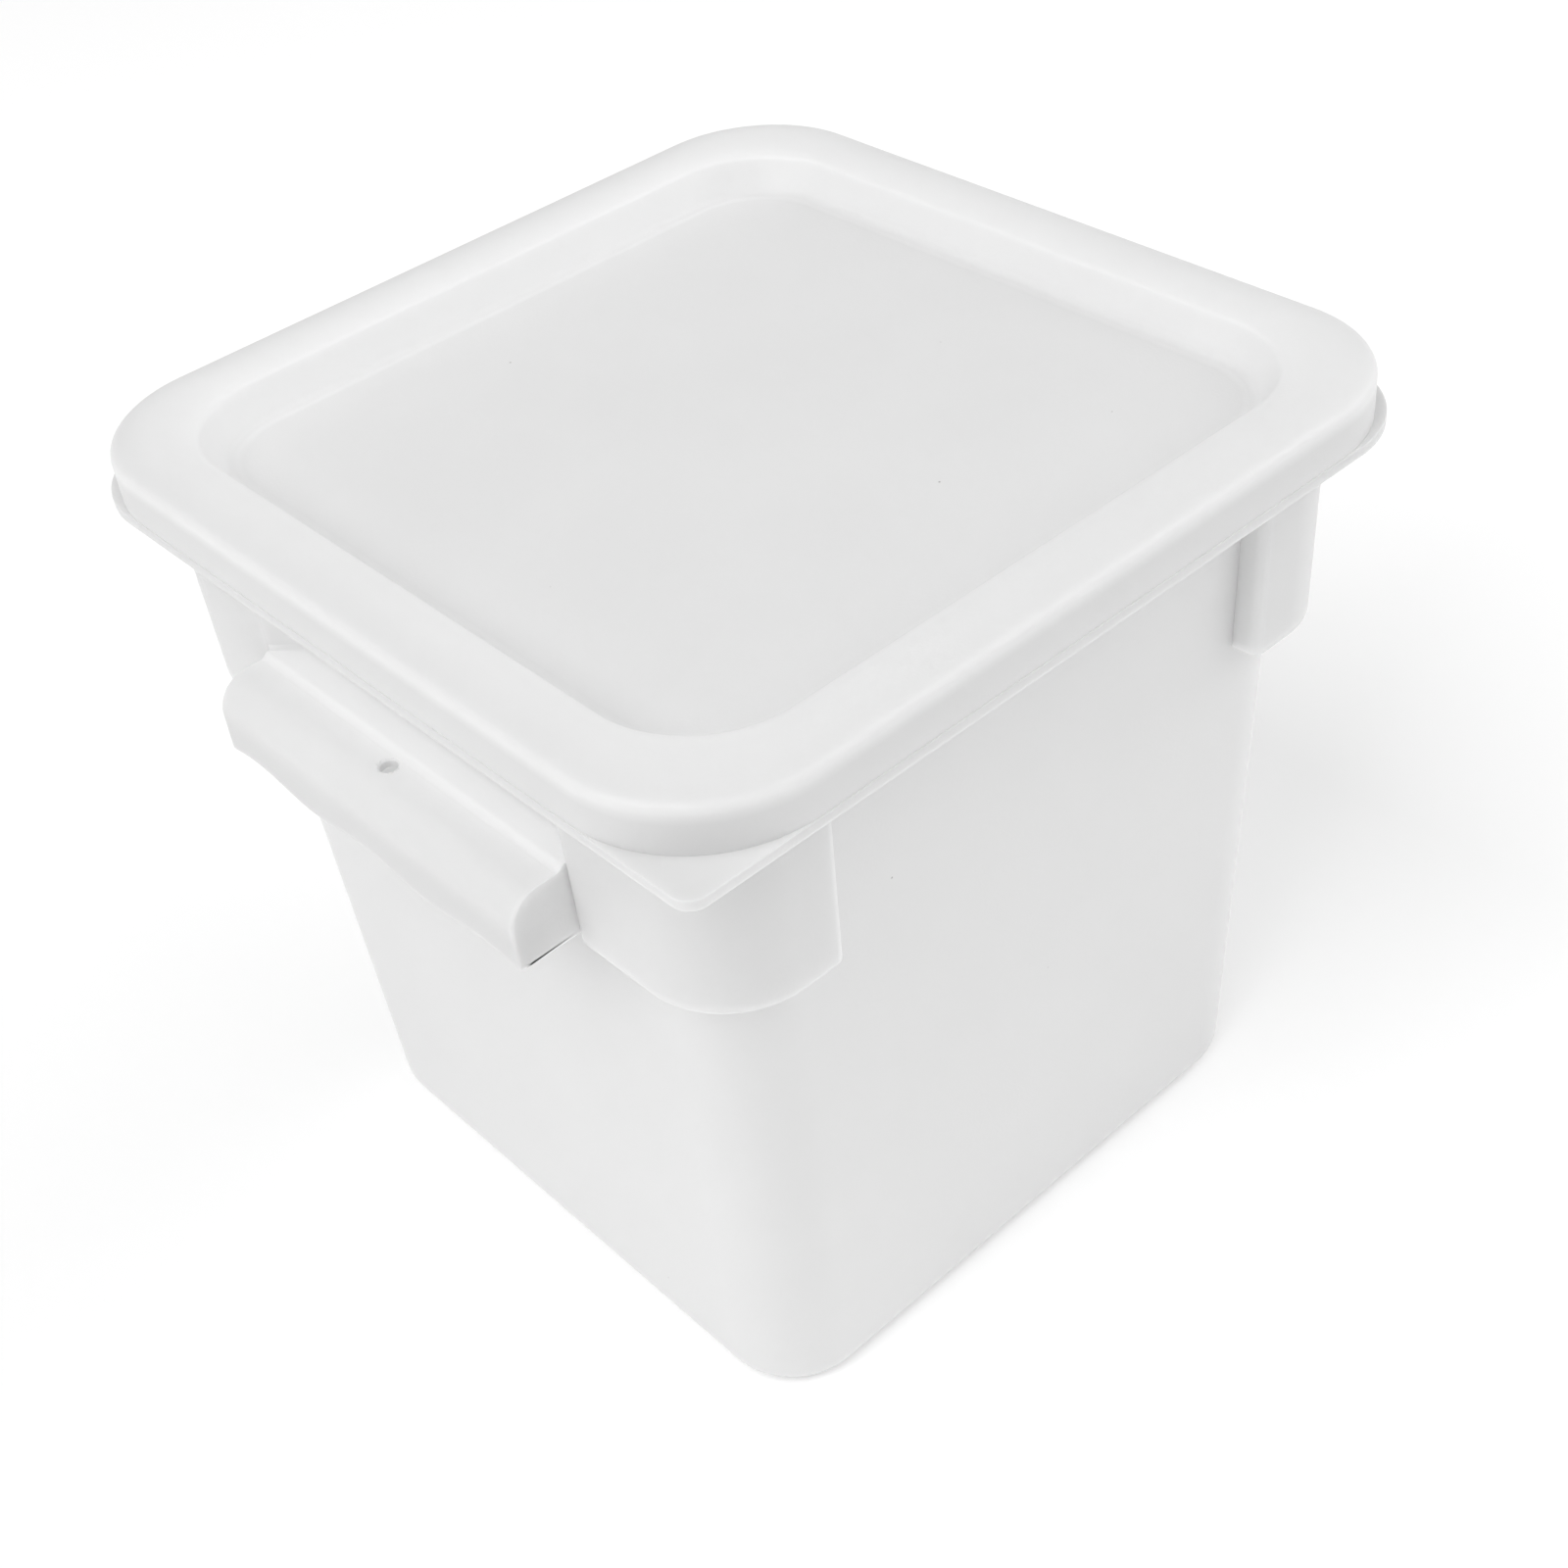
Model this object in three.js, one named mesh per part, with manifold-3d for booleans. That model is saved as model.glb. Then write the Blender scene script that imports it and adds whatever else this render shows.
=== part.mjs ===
// Square food storage container with a lift-off lid, moulded in white polyethylene.
// Millimetres, +Z up. The origin is the middle of the base, and the wing handles stand on the X sides.
import * as THREE from 'three';
import { mergeVertices } from 'three/addons/utils/BufferGeometryUtils.js';
import Module from 'manifold-3d';

const wasm = await Module();
wasm.setup();

// Tub walls
const baseWidth = 225;
const wallTopWidth = 243;
const wallTopHeight = 252;
const baseCornerRadius = 26;
const wallCornerRadius = 26;
const baseEdgeRadius = 8;
const wallThickness = 2.8;
const floorThickness = 3.2;

// Stacking shoulders at the four upper corners
const shoulderProud = 8.3;
const shoulderDraft = 1;
const shoulderHeight = 59;
const shoulderCornerRadius = 28.5;
const shoulderEdgeRadius = 3.5;
const shoulderFootChamfer = 1.5;
const plainFaceGap = 170;

// Rim of the tub: the wall flares to a neck, and a flange with a turned-down lip goes round it
const flareHeight = 8;
const neckHeight = 15.1;
const neckProud = 8.7;
const rimThickness = 2.6;
const rimOverhang = 9.7;
const rimLipHeight = 12.7;
const rimCornerRadius = 38.9;

// Wing handles
const handleLength = 142;
const handleProud = 27.5;
const handleDrop = 32;
const handleLipHeight = 23.6;
const handleRounding = 10.5;
const handleThickness = 2.8;
const handleCreaseProud = 9.5;
const handleCreaseRise = 2;
const handleEndOverlap = 1;
const fingerWaveHeight = 1.5;
const fingerWaveLength = 56;
const hangingHoleDiameter = 5.5;
const hangingHoleInset = 13.3;

// Lid: recessed panel, arched bead over the rim, skirt and lower lip
const lidThickness = 2.6;
const lidSideClearance = 0.5;
const lidSeatClearance = 0.3;
const plugClearance = 3.8;
const beadCrown = 4.8;
const beadEdgeRadius = 3;
const recessDepth = 13.3;
const recessSlope = 60;
const panelCornerRadius = 26;
const panelFootRadius = 3.5;
const skirtHeight = 15.5;
const lipThickness = 3.3;
const lipProud = 0.4;
const lipCornerRadius = 34.5;
const tabCornerRadius = 6;

// Facets in each quarter turn
const cornerSteps = 8;
const roundSteps = 4;

// Sizes that follow from the ones above
const baseHalf = baseWidth / 2;
const wallTopHalf = wallTopWidth / 2;
const wallSlope = (wallTopHalf - baseHalf) / wallTopHeight;
const shoulderBottomHeight = wallTopHeight - shoulderHeight;
const neckHalf = wallTopHalf + neckProud;
const neckInnerHalf = neckHalf - rimThickness;
const neckBottomHeight = wallTopHeight + flareHeight;
const rimHeight = neckBottomHeight + neckHeight;
const rimHalf = neckHalf + rimOverhang;
const rimLipBottom = rimHeight - rimLipHeight;
const rimCornerCentre = rimHalf - rimCornerRadius;
const skirtInnerHalf = rimHalf + lidSideClearance;
const lidHalf = skirtInnerHalf + lidThickness;
const lidRoof = rimHeight + lidSeatClearance;
const lidTop = lidRoof + lidThickness;
const beadEdgeHeight = lidTop - beadCrown;
const skirtBottom = beadEdgeHeight - skirtHeight;
const panelTop = lidTop - recessDepth;
const lipHalf = lidHalf + lipProud;

// The bead is an even arch: its crown is level at the crest, half-way between two small edge arcs of
// one height, and runs into both. The inner edge arc turns down into the sloped recess wall.
const channelInner = neckInnerHalf - plugClearance;
const crestHalf = (lidHalf - beadEdgeRadius + channelInner) / 2;
const edgeRun = crestHalf - channelInner;
const crownRadius = (edgeRun ** 2 + beadCrown ** 2 - beadEdgeRadius ** 2)
  / (2 * (beadCrown - beadEdgeRadius));
const crownCentre = lidTop - crownRadius;
const crownEnd = THREE.MathUtils.radToDeg(Math.atan2(crownRadius - beadCrown, edgeRun));
const rimCrownRadius = crownRadius - lidThickness - lidSeatClearance;

// A concave arc runs from the recess wall into the panel.
const slope = THREE.MathUtils.degToRad(recessSlope);
const slopeTop = beadEdgeHeight + beadEdgeRadius * Math.cos(slope);
const slopeTopHalf = channelInner - beadEdgeRadius * Math.sin(slope);
const slopeDrop = slopeTop - panelTop - panelFootRadius * (1 - Math.cos(slope));
const panelHalf = slopeTopHalf - slopeDrop / Math.tan(slope) - panelFootRadius * Math.sin(slope);
const panelCornerCentre = panelHalf - panelCornerRadius;

const handleHalf = wallTopHalf + handleProud;
const handleTopHeight = wallTopHeight - handleDrop;
const handleBottom = handleTopHeight - handleLipHeight;
const handleRoot = wallHalfAt(handleBottom) - wallThickness / 2;

const polyethylene = new THREE.MeshStandardMaterial({ color: 0xeeeded, roughness: 0.42, metalness: 0 });
const lidPolyethylene = new THREE.MeshStandardMaterial({ color: 0xf0efef, roughness: 0.38, metalness: 0 });

// Half the width of the outer wall at a height above the base.
function wallHalfAt(height) {
  return baseHalf + wallSlope * height;
}

// A point of an arc in a plane of half-width and height.
function arcPoint(centreHalf, centreHeight, radius, degrees) {
  const angle = THREE.MathUtils.degToRad(degrees);
  return [centreHalf + radius * Math.cos(angle), centreHeight + radius * Math.sin(angle)];
}

// The points of such an arc, both ends included.
function arcPoints(centreHalf, centreHeight, radius, fromDegrees, toDegrees, steps = roundSteps) {
  const points = [];
  for (let i = 0; i <= steps; i += 1) {
    const degrees = fromDegrees + ((toDegrees - fromDegrees) * i) / steps;
    points.push(arcPoint(centreHalf, centreHeight, radius, degrees));
  }
  return points;
}

// A level square with round corners, as a closed ring of points that runs anticlockwise.
function squareRing(half, radius, height) {
  const ring = [];
  const centre = half - radius;
  const corners = [[centre, centre], [-centre, centre], [-centre, -centre], [centre, -centre]];
  corners.forEach(([x, y], quarter) => {
    const start = (quarter * Math.PI) / 2;
    const arc = new THREE.EllipseCurve(x, y, radius, radius, start, start + Math.PI / 2);
    arc.getPoints(cornerSteps).forEach((point) => ring.push(new THREE.Vector3(point.x, point.y, height)));
  });
  return ring;
}

// A closed skin over a stack of rings with equal counts of points, with a flat fan at each end.
function loft(rings) {
  const count = rings[0].length;
  const points = rings.flat();
  const index = [];
  for (let level = 0; level + 1 < rings.length; level += 1) {
    for (let i = 0; i < count; i += 1) {
      const a = level * count + i;
      const b = level * count + ((i + 1) % count);
      index.push(a, b, b + count, a, b + count, a + count);
    }
  }
  const lastStart = (rings.length - 1) * count;
  const middle = (ring) => ring.reduce((sum, p) => sum.add(p), new THREE.Vector3()).divideScalar(count);
  const firstMiddle = points.push(middle(rings[0])) - 1;
  const lastMiddle = points.push(middle(rings[rings.length - 1])) - 1;
  for (let i = 0; i < count; i += 1) {
    const next = (i + 1) % count;
    index.push(firstMiddle, next, i, lastMiddle, lastStart + i, lastStart + next);
  }
  const geometry = new THREE.BufferGeometry().setFromPoints(points);
  geometry.setIndex(index);
  return geometry;
}

// A profile of [half-width, height, corner radius] carried round the square.
function squareLoft(profile) {
  return loft(profile.map(([half, height, radius]) => squareRing(half, radius, height)));
}

// A closed geometry as a solid that can be joined and cut.
function toSolid(geometry) {
  const bare = geometry.clone();
  bare.deleteAttribute('normal');
  bare.deleteAttribute('uv');
  const merged = mergeVertices(bare);
  return new wasm.Manifold(new wasm.Mesh({
    numProp: 3,
    vertProperties: new Float32Array(merged.attributes.position.array),
    triVerts: new Uint32Array(merged.index.array),
  }));
}

// A solid as a named mesh.
function toMesh(name, solid, material) {
  const { vertProperties, triVerts } = solid.getMesh();
  const geometry = new THREE.BufferGeometry();
  geometry.setAttribute('position', new THREE.BufferAttribute(vertProperties, 3));
  geometry.setIndex(new THREE.BufferAttribute(triVerts, 1));
  geometry.computeVertexNormals();
  const mesh = new THREE.Mesh(geometry, material);
  mesh.name = name;
  return mesh;
}

// The points of an arc about the crown's centre, from one half-width to another.
function crownArc(radius, fromHalf, toHalf) {
  const degreesAt = (half) => THREE.MathUtils.radToDeg(Math.acos((half - crestHalf) / radius));
  return arcPoints(crestHalf, crownCentre, radius, degreesAt(fromHalf), degreesAt(toHalf));
}

// Corner radius of a ring that shares the rim's corner centres.
function rimRadius(half) {
  return half - rimCornerCentre;
}

// The tub without its hollow: walls, flare, neck and the crowned flange with its turned-down lip.
function tubOutside() {
  const lipInner = rimHalf - rimThickness;
  const edge = arcPoints(
    wallHalfAt(baseEdgeRadius) - baseEdgeRadius, baseEdgeRadius, baseEdgeRadius, -90, 0,
  );
  const foot = edge.map(([half, height]) => [half, height, baseCornerRadius - (baseHalf - half)]);
  const flangeUnder = crownArc(rimCrownRadius - rimThickness, neckHalf, lipInner);
  const flangeTop = crownArc(rimCrownRadius, rimHalf, neckInnerHalf);
  const rounded = ([half, height]) => [half, height, rimRadius(half)];
  return toSolid(squareLoft([
    ...foot,
    [wallTopHalf, wallTopHeight, wallCornerRadius],
    [neckHalf, neckBottomHeight, rimRadius(neckHalf)],
    ...flangeUnder.map(rounded),
    [lipInner, rimLipBottom, rimRadius(lipInner)],
    [rimHalf, rimLipBottom, rimRadius(rimHalf)],
    ...flangeTop.map(rounded),
  ]));
}

// The room inside the tub, up through the neck and out of the mouth.
function tubHollow() {
  const above = rimHeight + rimThickness;
  const insideHalf = wallHalfAt(baseEdgeRadius) - wallThickness;
  const innerRadius = baseEdgeRadius - wallThickness;
  const edge = arcPoints(insideHalf - innerRadius, floorThickness + innerRadius, innerRadius, -90, 0);
  const radius = baseCornerRadius - wallThickness;
  return toSolid(squareLoft([
    ...edge.map(([half, height]) => [half, height, radius - (insideHalf - half)]),
    [wallTopHalf - wallThickness, wallTopHeight, wallCornerRadius - wallThickness],
    [neckInnerHalf, neckBottomHeight, rimRadius(neckInnerHalf)],
    [neckInnerHalf, above, rimRadius(neckInnerHalf)],
  ]));
}

// Outline of one shoulder in plan, drawn in the +X +Y corner: two step faces, two outer faces and
// the round corner between them.
function shoulderRing(half, cornerRadius, fromX, fromY, edgeRadius, height) {
  const ring = [new THREE.Vector2(fromX, fromY)];
  const addArc = (x, y, radius, start) => {
    const arc = new THREE.EllipseCurve(x, y, radius, radius, start, start + Math.PI / 2);
    ring.push(...arc.getPoints(cornerSteps / 2));
  };
  addArc(half - edgeRadius, fromY + edgeRadius, edgeRadius, -Math.PI / 2);
  addArc(half - cornerRadius, half - cornerRadius, cornerRadius, 0);
  addArc(fromX + edgeRadius, half - edgeRadius, edgeRadius, Math.PI / 2);
  return ring.map((point) => new THREE.Vector3(point.x, point.y, height));
}

// One shoulder as a tapered block, or with a wall inset the pocket inside it.
function shoulderBlock(inset, signX, signY) {
  const bottom = shoulderBottomHeight + inset;
  const top = neckBottomHeight;
  const chamfer = shoulderFootChamfer;
  const taper = Math.tan(THREE.MathUtils.degToRad(shoulderDraft));
  const fromX = plainFaceGap / 2 + inset;
  const fromY = handleLength / 2 - handleEndOverlap + inset;
  const ringAt = (height, shrink) => {
    const half = wallTopHalf + shoulderProud - inset - shrink - taper * (wallTopHeight - height);
    const room = half - Math.max(fromX, fromY) - shrink - shoulderEdgeRadius;
    const radius = Math.min(shoulderCornerRadius - inset - shrink, room);
    return shoulderRing(half, radius, fromX + shrink, fromY + shrink, shoulderEdgeRadius, height);
  };
  const rings = [ringAt(bottom, chamfer), ringAt(bottom + chamfer, 0), ringAt(top, 0)];
  const block = loft(rings);
  block.scale(signX, signY, 1);
  if (signX * signY < 0) {
    block.setIndex(Array.from(block.index.array).reverse());
  }
  return toSolid(block);
}

// Outline of the handle seen along its length: sloped strip at the wall, flat top, round outer edge
// and lip. Local axes are outwards and up.
function handleProfile() {
  const crease = wallTopHalf + handleCreaseProud;
  const shape = new THREE.Shape();
  shape.moveTo(handleRoot, handleBottom - fingerWaveHeight);
  shape.lineTo(handleHalf, handleBottom - fingerWaveHeight);
  shape.lineTo(handleHalf, handleTopHeight - handleRounding);
  shape.absarc(
    handleHalf - handleRounding, handleTopHeight - handleRounding, handleRounding, 0, Math.PI / 2, false,
  );
  shape.lineTo(crease, handleTopHeight);
  shape.lineTo(handleRoot, handleTopHeight + handleCreaseRise);
  shape.closePath();
  return shape;
}

// The hollow under the handle, from the wall to the inside of the lip.
function handleHollowProfile() {
  const inside = handleRoot - wallThickness;
  const outside = handleHalf - handleThickness;
  const radius = handleRounding - handleThickness;
  const roof = handleTopHeight - handleThickness;
  const below = handleBottom - handleLipHeight;
  const shape = new THREE.Shape();
  shape.moveTo(inside, below);
  shape.lineTo(outside, below);
  shape.lineTo(outside, roof - radius);
  shape.absarc(outside - radius, roof - radius, radius, 0, Math.PI / 2, false);
  shape.lineTo(inside, roof);
  shape.closePath();
  return shape;
}

// A profile of outwards and up, extruded along Y and centred on it.
function extrudeAlongY(shape, length) {
  const geometry = new THREE.ExtrudeGeometry(shape, {
    depth: length, bevelEnabled: false, curveSegments: roundSteps,
  });
  geometry.rotateX(Math.PI / 2);
  geometry.translate(0, length / 2, 0);
  return geometry;
}

// What is cut away below the lip, so that its lower edge waves with the fingers.
function fingerWaveCut() {
  const waveSteps = 40;
  const end = handleLength / 2 + handleThickness;
  const below = handleBottom - handleLipHeight;
  const shape = new THREE.Shape();
  shape.moveTo(-end, below);
  shape.lineTo(end, below);
  for (let i = 0; i <= waveSteps; i += 1) {
    const along = end - (2 * end * i) / waveSteps;
    const wave = Math.cos((2 * Math.PI * along) / fingerWaveLength);
    shape.lineTo(along, handleBottom + fingerWaveHeight * wave);
  }
  shape.closePath();
  const depth = handleHalf;
  const geometry = new THREE.ExtrudeGeometry(shape, { depth, bevelEnabled: false });
  geometry.rotateX(Math.PI / 2);
  geometry.rotateZ(Math.PI / 2);
  geometry.translate(wallThickness, 0, 0);
  return toSolid(geometry);
}

// One wing handle on the +X side, or on the -X side when side is -1.
function wingHandle(side) {
  const shell = toSolid(extrudeAlongY(handleProfile(), handleLength))
    .subtract(toSolid(extrudeAlongY(handleHollowProfile(), handleLength - 2 * handleThickness)))
    .subtract(fingerWaveCut());
  const holeLength = 4 * handleThickness;
  const hole = new THREE.CylinderGeometry(
    hangingHoleDiameter / 2, hangingHoleDiameter / 2, holeLength, 4 * roundSteps,
  );
  hole.rotateX(Math.PI / 2);
  hole.translate(handleHalf - hangingHoleInset, 0, handleTopHeight);
  const handle = shell.subtract(toSolid(hole));
  return side > 0 ? handle : handle.rotate([0, 0, 180]);
}

// The whole tub, with its shoulders and handles moulded on.
function containerBody() {
  const corners = [[1, 1], [-1, 1], [-1, -1], [1, -1]];
  let body = tubOutside();
  corners.forEach(([x, y]) => {
    body = body.add(shoulderBlock(0, x, y));
  });
  [1, -1].forEach((side) => {
    body = body.add(wingHandle(side));
  });
  body = body.subtract(tubHollow());
  corners.forEach(([x, y]) => {
    body = body.subtract(shoulderBlock(wallThickness, x, y));
  });
  return toMesh('container_body', body, polyethylene);
}

// Corner radius of a ring of the lid. The outside of the bead shares the rim's corner centres and the
// recess shares the panel's; the inner half of the crown passes from one to the other.
function lidRadius(half) {
  const share = THREE.MathUtils.smoothstep(half, channelInner, crestHalf);
  return half - THREE.MathUtils.lerp(panelCornerCentre, rimCornerCentre, share);
}

// The lid's section: underside of the panel, recess wall and channel for the rim, then skirt, lip,
// bead, recess wall and panel. The underside lies a lid thickness below the top.
function lidProfile() {
  const footHeight = panelTop + panelFootRadius;
  const footUnder = arcPoints(
    panelHalf, footHeight, panelFootRadius + lidThickness, -90, recessSlope - 90,
  );
  const turnUnder = arcPoint(
    channelInner, beadEdgeHeight, beadEdgeRadius - lidThickness, 90 + recessSlope,
  );
  const crownSteps = 2 * roundSteps;
  const channel = arcPoints(
    crestHalf, crownCentre, crownRadius - lidThickness, 180 - crownEnd, crownEnd, crownSteps,
  );
  const edge = arcPoints(lidHalf - beadEdgeRadius, beadEdgeHeight, beadEdgeRadius, 0, crownEnd);
  const crown = arcPoints(crestHalf, crownCentre, crownRadius, crownEnd, 180 - crownEnd, crownSteps);
  const inner = arcPoints(
    channelInner, beadEdgeHeight, beadEdgeRadius, 180 - crownEnd, 90 + recessSlope,
  );
  const foot = arcPoints(panelHalf, footHeight, panelFootRadius, recessSlope - 90, -90);
  const rounded = ([half, height]) => [half, height, lidRadius(half)];
  return [
    ...footUnder.map(rounded),
    rounded(turnUnder),
    ...channel.map(rounded),
    rounded([skirtInnerHalf, beadEdgeHeight]),
    rounded([skirtInnerHalf, skirtBottom]),
    [lipHalf, skirtBottom, lipCornerRadius],
    [lipHalf, skirtBottom + lipThickness, lipCornerRadius],
    rounded([lidHalf, skirtBottom + lipThickness]),
    ...edge.map(rounded),
    ...crown.slice(1).map(rounded),
    ...inner.slice(1).map(rounded),
    ...foot.map(rounded),
  ];
}

// The lift tab: the lip carried on to a nearly square corner in front, at -X -Y.
function liftTab() {
  const reach = lipHalf;
  const centre = rimCornerCentre;
  const skirtMiddle = rimRadius(lidHalf - lidThickness / 2);
  const shape = new THREE.Shape();
  shape.moveTo(centre, reach);
  shape.lineTo(centre, centre + skirtMiddle);
  shape.absarc(centre, centre, skirtMiddle, Math.PI / 2, 0, true);
  shape.lineTo(reach, centre);
  shape.lineTo(reach, reach - tabCornerRadius);
  shape.absarc(reach - tabCornerRadius, reach - tabCornerRadius, tabCornerRadius, 0, Math.PI / 2, false);
  shape.closePath();
  const geometry = new THREE.ExtrudeGeometry(shape, {
    depth: lipThickness, bevelEnabled: false, curveSegments: cornerSteps,
  });
  geometry.rotateZ(Math.PI);
  geometry.translate(0, 0, skirtBottom);
  return toSolid(geometry);
}

// The lid with its tab.
function lid() {
  return toMesh('lid', toSolid(squareLoft(lidProfile())).add(liftTab()), lidPolyethylene);
}

const container = new THREE.Group();
container.name = 'square_food_container';
container.add(containerBody());
container.add(lid());

export default container;
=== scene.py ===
"""A square food storage container with a lift-off lid, dressed in white moulded polyethylene.

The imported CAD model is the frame. The tub and the lid are each one closed surface: a section of
half-widths and heights is carried round a square with round corners. Sizes are in millimetres and
the meshes in metres, with the base's middle at the origin and the handles on the X sides.
"""

import logging
import math
from dataclasses import dataclass
from enum import Enum

import bmesh
import bpy
import numpy as np
from mathutils import Euler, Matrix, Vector


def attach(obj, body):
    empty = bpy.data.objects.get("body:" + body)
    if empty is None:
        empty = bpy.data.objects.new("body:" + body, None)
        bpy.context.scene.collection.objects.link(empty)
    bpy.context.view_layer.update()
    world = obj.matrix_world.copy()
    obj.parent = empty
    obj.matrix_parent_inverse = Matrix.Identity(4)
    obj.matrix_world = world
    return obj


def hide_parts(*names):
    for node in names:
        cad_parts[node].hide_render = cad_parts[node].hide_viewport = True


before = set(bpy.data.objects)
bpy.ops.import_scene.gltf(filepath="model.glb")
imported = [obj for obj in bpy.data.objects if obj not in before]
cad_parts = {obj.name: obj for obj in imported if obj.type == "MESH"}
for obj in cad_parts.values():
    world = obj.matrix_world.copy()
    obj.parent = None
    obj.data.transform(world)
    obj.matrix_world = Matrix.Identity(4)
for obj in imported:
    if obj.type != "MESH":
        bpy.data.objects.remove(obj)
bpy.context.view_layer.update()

MM = 0.001
MERGE_DISTANCE = 0.002 * MM
SHARP_ANGLE = 38.0
# Slack for comparing places that were worked out in two ways.
SLACK = 1e-6
# Sockets of a Mix node for colours, whose names come more than once.
MIX_SHARE, MIX_FIRST, MIX_SECOND, MIX_RESULT = 0, 6, 7, 2
# Vertex layer of painted light and shade on the surface, partly standing for how much plastic lies
# behind it, from a thin edge to a thick root.
SHADING_LAYER = "painted_shading_and_body"
PLAIN_SHADING = 0.45

log = logging.getLogger("food_container")


class Body(Enum):
    """The bodies that pieces ride on."""

    CONTAINER = "container"
    LID = "lid"


class Light(Enum):
    """What a studio lamp is for."""

    KEY = "key_softbox"
    RIGHT = "right_softbox"
    BACK_RIGHT = "back_right_softbox"


def linear(hex_colour: str) -> tuple[float, float, float, float]:
    """Turns an sRGB hex value into a linear colour, by the curve of the sRGB standard.

    Args:
        hex_colour: a hash sign and six hex digits.

    Returns:
        Red, green, blue and full alpha.
    """
    levels = np.array([int(hex_colour[i:i + 2], 16) for i in (1, 3, 5)]) / 255.0
    values = np.where(levels <= 0.04045, levels / 12.92, ((levels + 0.055) / 1.055) ** 2.4)
    return (*values.tolist(), 1.0)


def line(start: tuple, end: tuple, count: int) -> np.ndarray:
    """Points from one place towards another, closer together near both ends.

    The share of the way is half of one minus the cosine of a half turn.

    Args:
        start: first point, kept.
        end: last point, left to whatever follows.
        count: number of points.

    Returns:
        An array of count rows.
    """
    turn = np.pi * np.arange(count) / count
    share = (1 - np.cos(turn)) / 2
    first = np.asarray(start, float)
    return first + share[:, None] * (np.asarray(end, float) - first)


def arc(centre: tuple, radius: float, first: float, last: float, count: int) -> np.ndarray:
    """Points of a circle: its centre plus the radius times cosine and sine of the angle.

    Args:
        centre: half-width and height of the centre.
        radius: radius of the circle.
        first: angle of the first point in degrees, from outwards towards up.
        last: angle of the last point in degrees.
        count: number of points, both ends included.

    Returns:
        An array of count rows of half-width and height.
    """
    angle = np.radians(np.linspace(first, last, count))
    return np.asarray(centre, float) + radius * np.stack([np.cos(angle), np.sin(angle)], axis=1)


def stations(points: np.ndarray, radius: float | np.ndarray) -> np.ndarray:
    """Adds a corner radius to rows of half-width and height."""
    column = np.broadcast_to(np.asarray(radius, float), (len(points),))
    return np.column_stack([points, column])


def past(places: np.ndarray, edge: float) -> np.ndarray:
    """Tells which of some rising places lie past an edge.

    A place that comes twice stands on both sides of a square face: its first sample is before the
    edge and its second one past it.

    Args:
        places: distances from the middle of a side, rising.
        edge: one of them.

    Returns:
        True where a sample lies past the edge.
    """
    beyond = places >= edge
    beyond[np.flatnonzero(beyond)[0]] = False
    return beyond


def mirrored(half_side: np.ndarray) -> np.ndarray:
    """Adds the other half of a side to samples that run from its middle.

    Args:
        half_side: rows that start with a place.

    Returns:
        Rows from one end of the side to the other.
    """
    other = half_side[:0:-1].copy()
    other[:, 0] *= -1
    return np.vstack([other, half_side])


@dataclass(frozen=True)
class SquarePath:
    """Sample directions round a square with round corners, anticlockwise from the middle of +X.

    On a side, a ring's point is its half-width times the normal plus the place along the side. On a
    corner it is the corner's centre plus the corner radius times the turned direction.
    """

    normal: np.ndarray
    along: np.ndarray
    corner: np.ndarray
    turn: np.ndarray
    reach: float

    @classmethod
    def around(cls, x_side: np.ndarray, y_side: np.ndarray, corner_steps: int) -> "SquarePath":
        """Lays out the samples of four sides and four corners.

        Args:
            x_side: places along the sides that face +X and -X, rising.
            y_side: places along the sides that face +Y and -Y, rising.
            corner_steps: steps of each quarter turn.

        Returns:
            The path.
        """
        angle = np.linspace(0.0, np.pi / 2, corner_steps + 1)
        rows = {name: [] for name in ("normal", "along", "corner", "turn")}
        for quarter in range(4):
            out = np.array([math.cos(quarter * math.pi / 2), math.sin(quarter * math.pi / 2)])
            side = np.array([-out[1], out[0]])
            places = y_side if quarter % 2 else x_side
            flat = np.zeros((len(places), 2))
            bend = np.zeros((len(angle), 2))
            rows["normal"] += [flat + out, bend]
            rows["along"] += [places[:, None] * side, bend]
            rows["corner"] += [flat, bend + out + side]
            rows["turn"] += [flat, np.cos(angle)[:, None] * out + np.sin(angle)[:, None] * side]
        stacked = {name: np.vstack(parts) for name, parts in rows.items()}
        return cls(**stacked, reach=float(max(x_side.max(), y_side.max())))

    def place(self, half: np.ndarray, radius: np.ndarray) -> np.ndarray:
        """Puts rings on the path.

        Args:
            half: half-widths, one row for each ring, with one column or one for each sample.
            radius: corner radii, laid out alike.

        Returns:
            Plan points by ring, sample and axis.
        """
        centre = half - radius
        stretch = np.minimum(1.0, centre / self.reach)
        return (
            half[..., None] * self.normal
            + stretch[..., None] * self.along
            + centre[..., None] * self.corner
            + radius[..., None] * self.turn
        )

    def side_share(self, x_side: np.ndarray, y_side: np.ndarray, corner: float) -> np.ndarray:
        """Lays values in the order of the samples.

        Args:
            x_side: values along the sides that face +X and -X.
            y_side: values along the sides that face +Y and -Y.
            corner: value of all the samples on corners.

        Returns:
            One value for each sample.
        """
        steps = (len(self.normal) - 2 * len(x_side) - 2 * len(y_side)) // 4
        bend = np.full(steps, corner)
        return np.tile(np.concatenate([x_side, bend, y_side, bend]), 2)

    def front_corner(self) -> np.ndarray:
        """Tells the samples of the corner in front, at -X -Y."""
        return np.all(self.corner < 0, axis=1)


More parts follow.
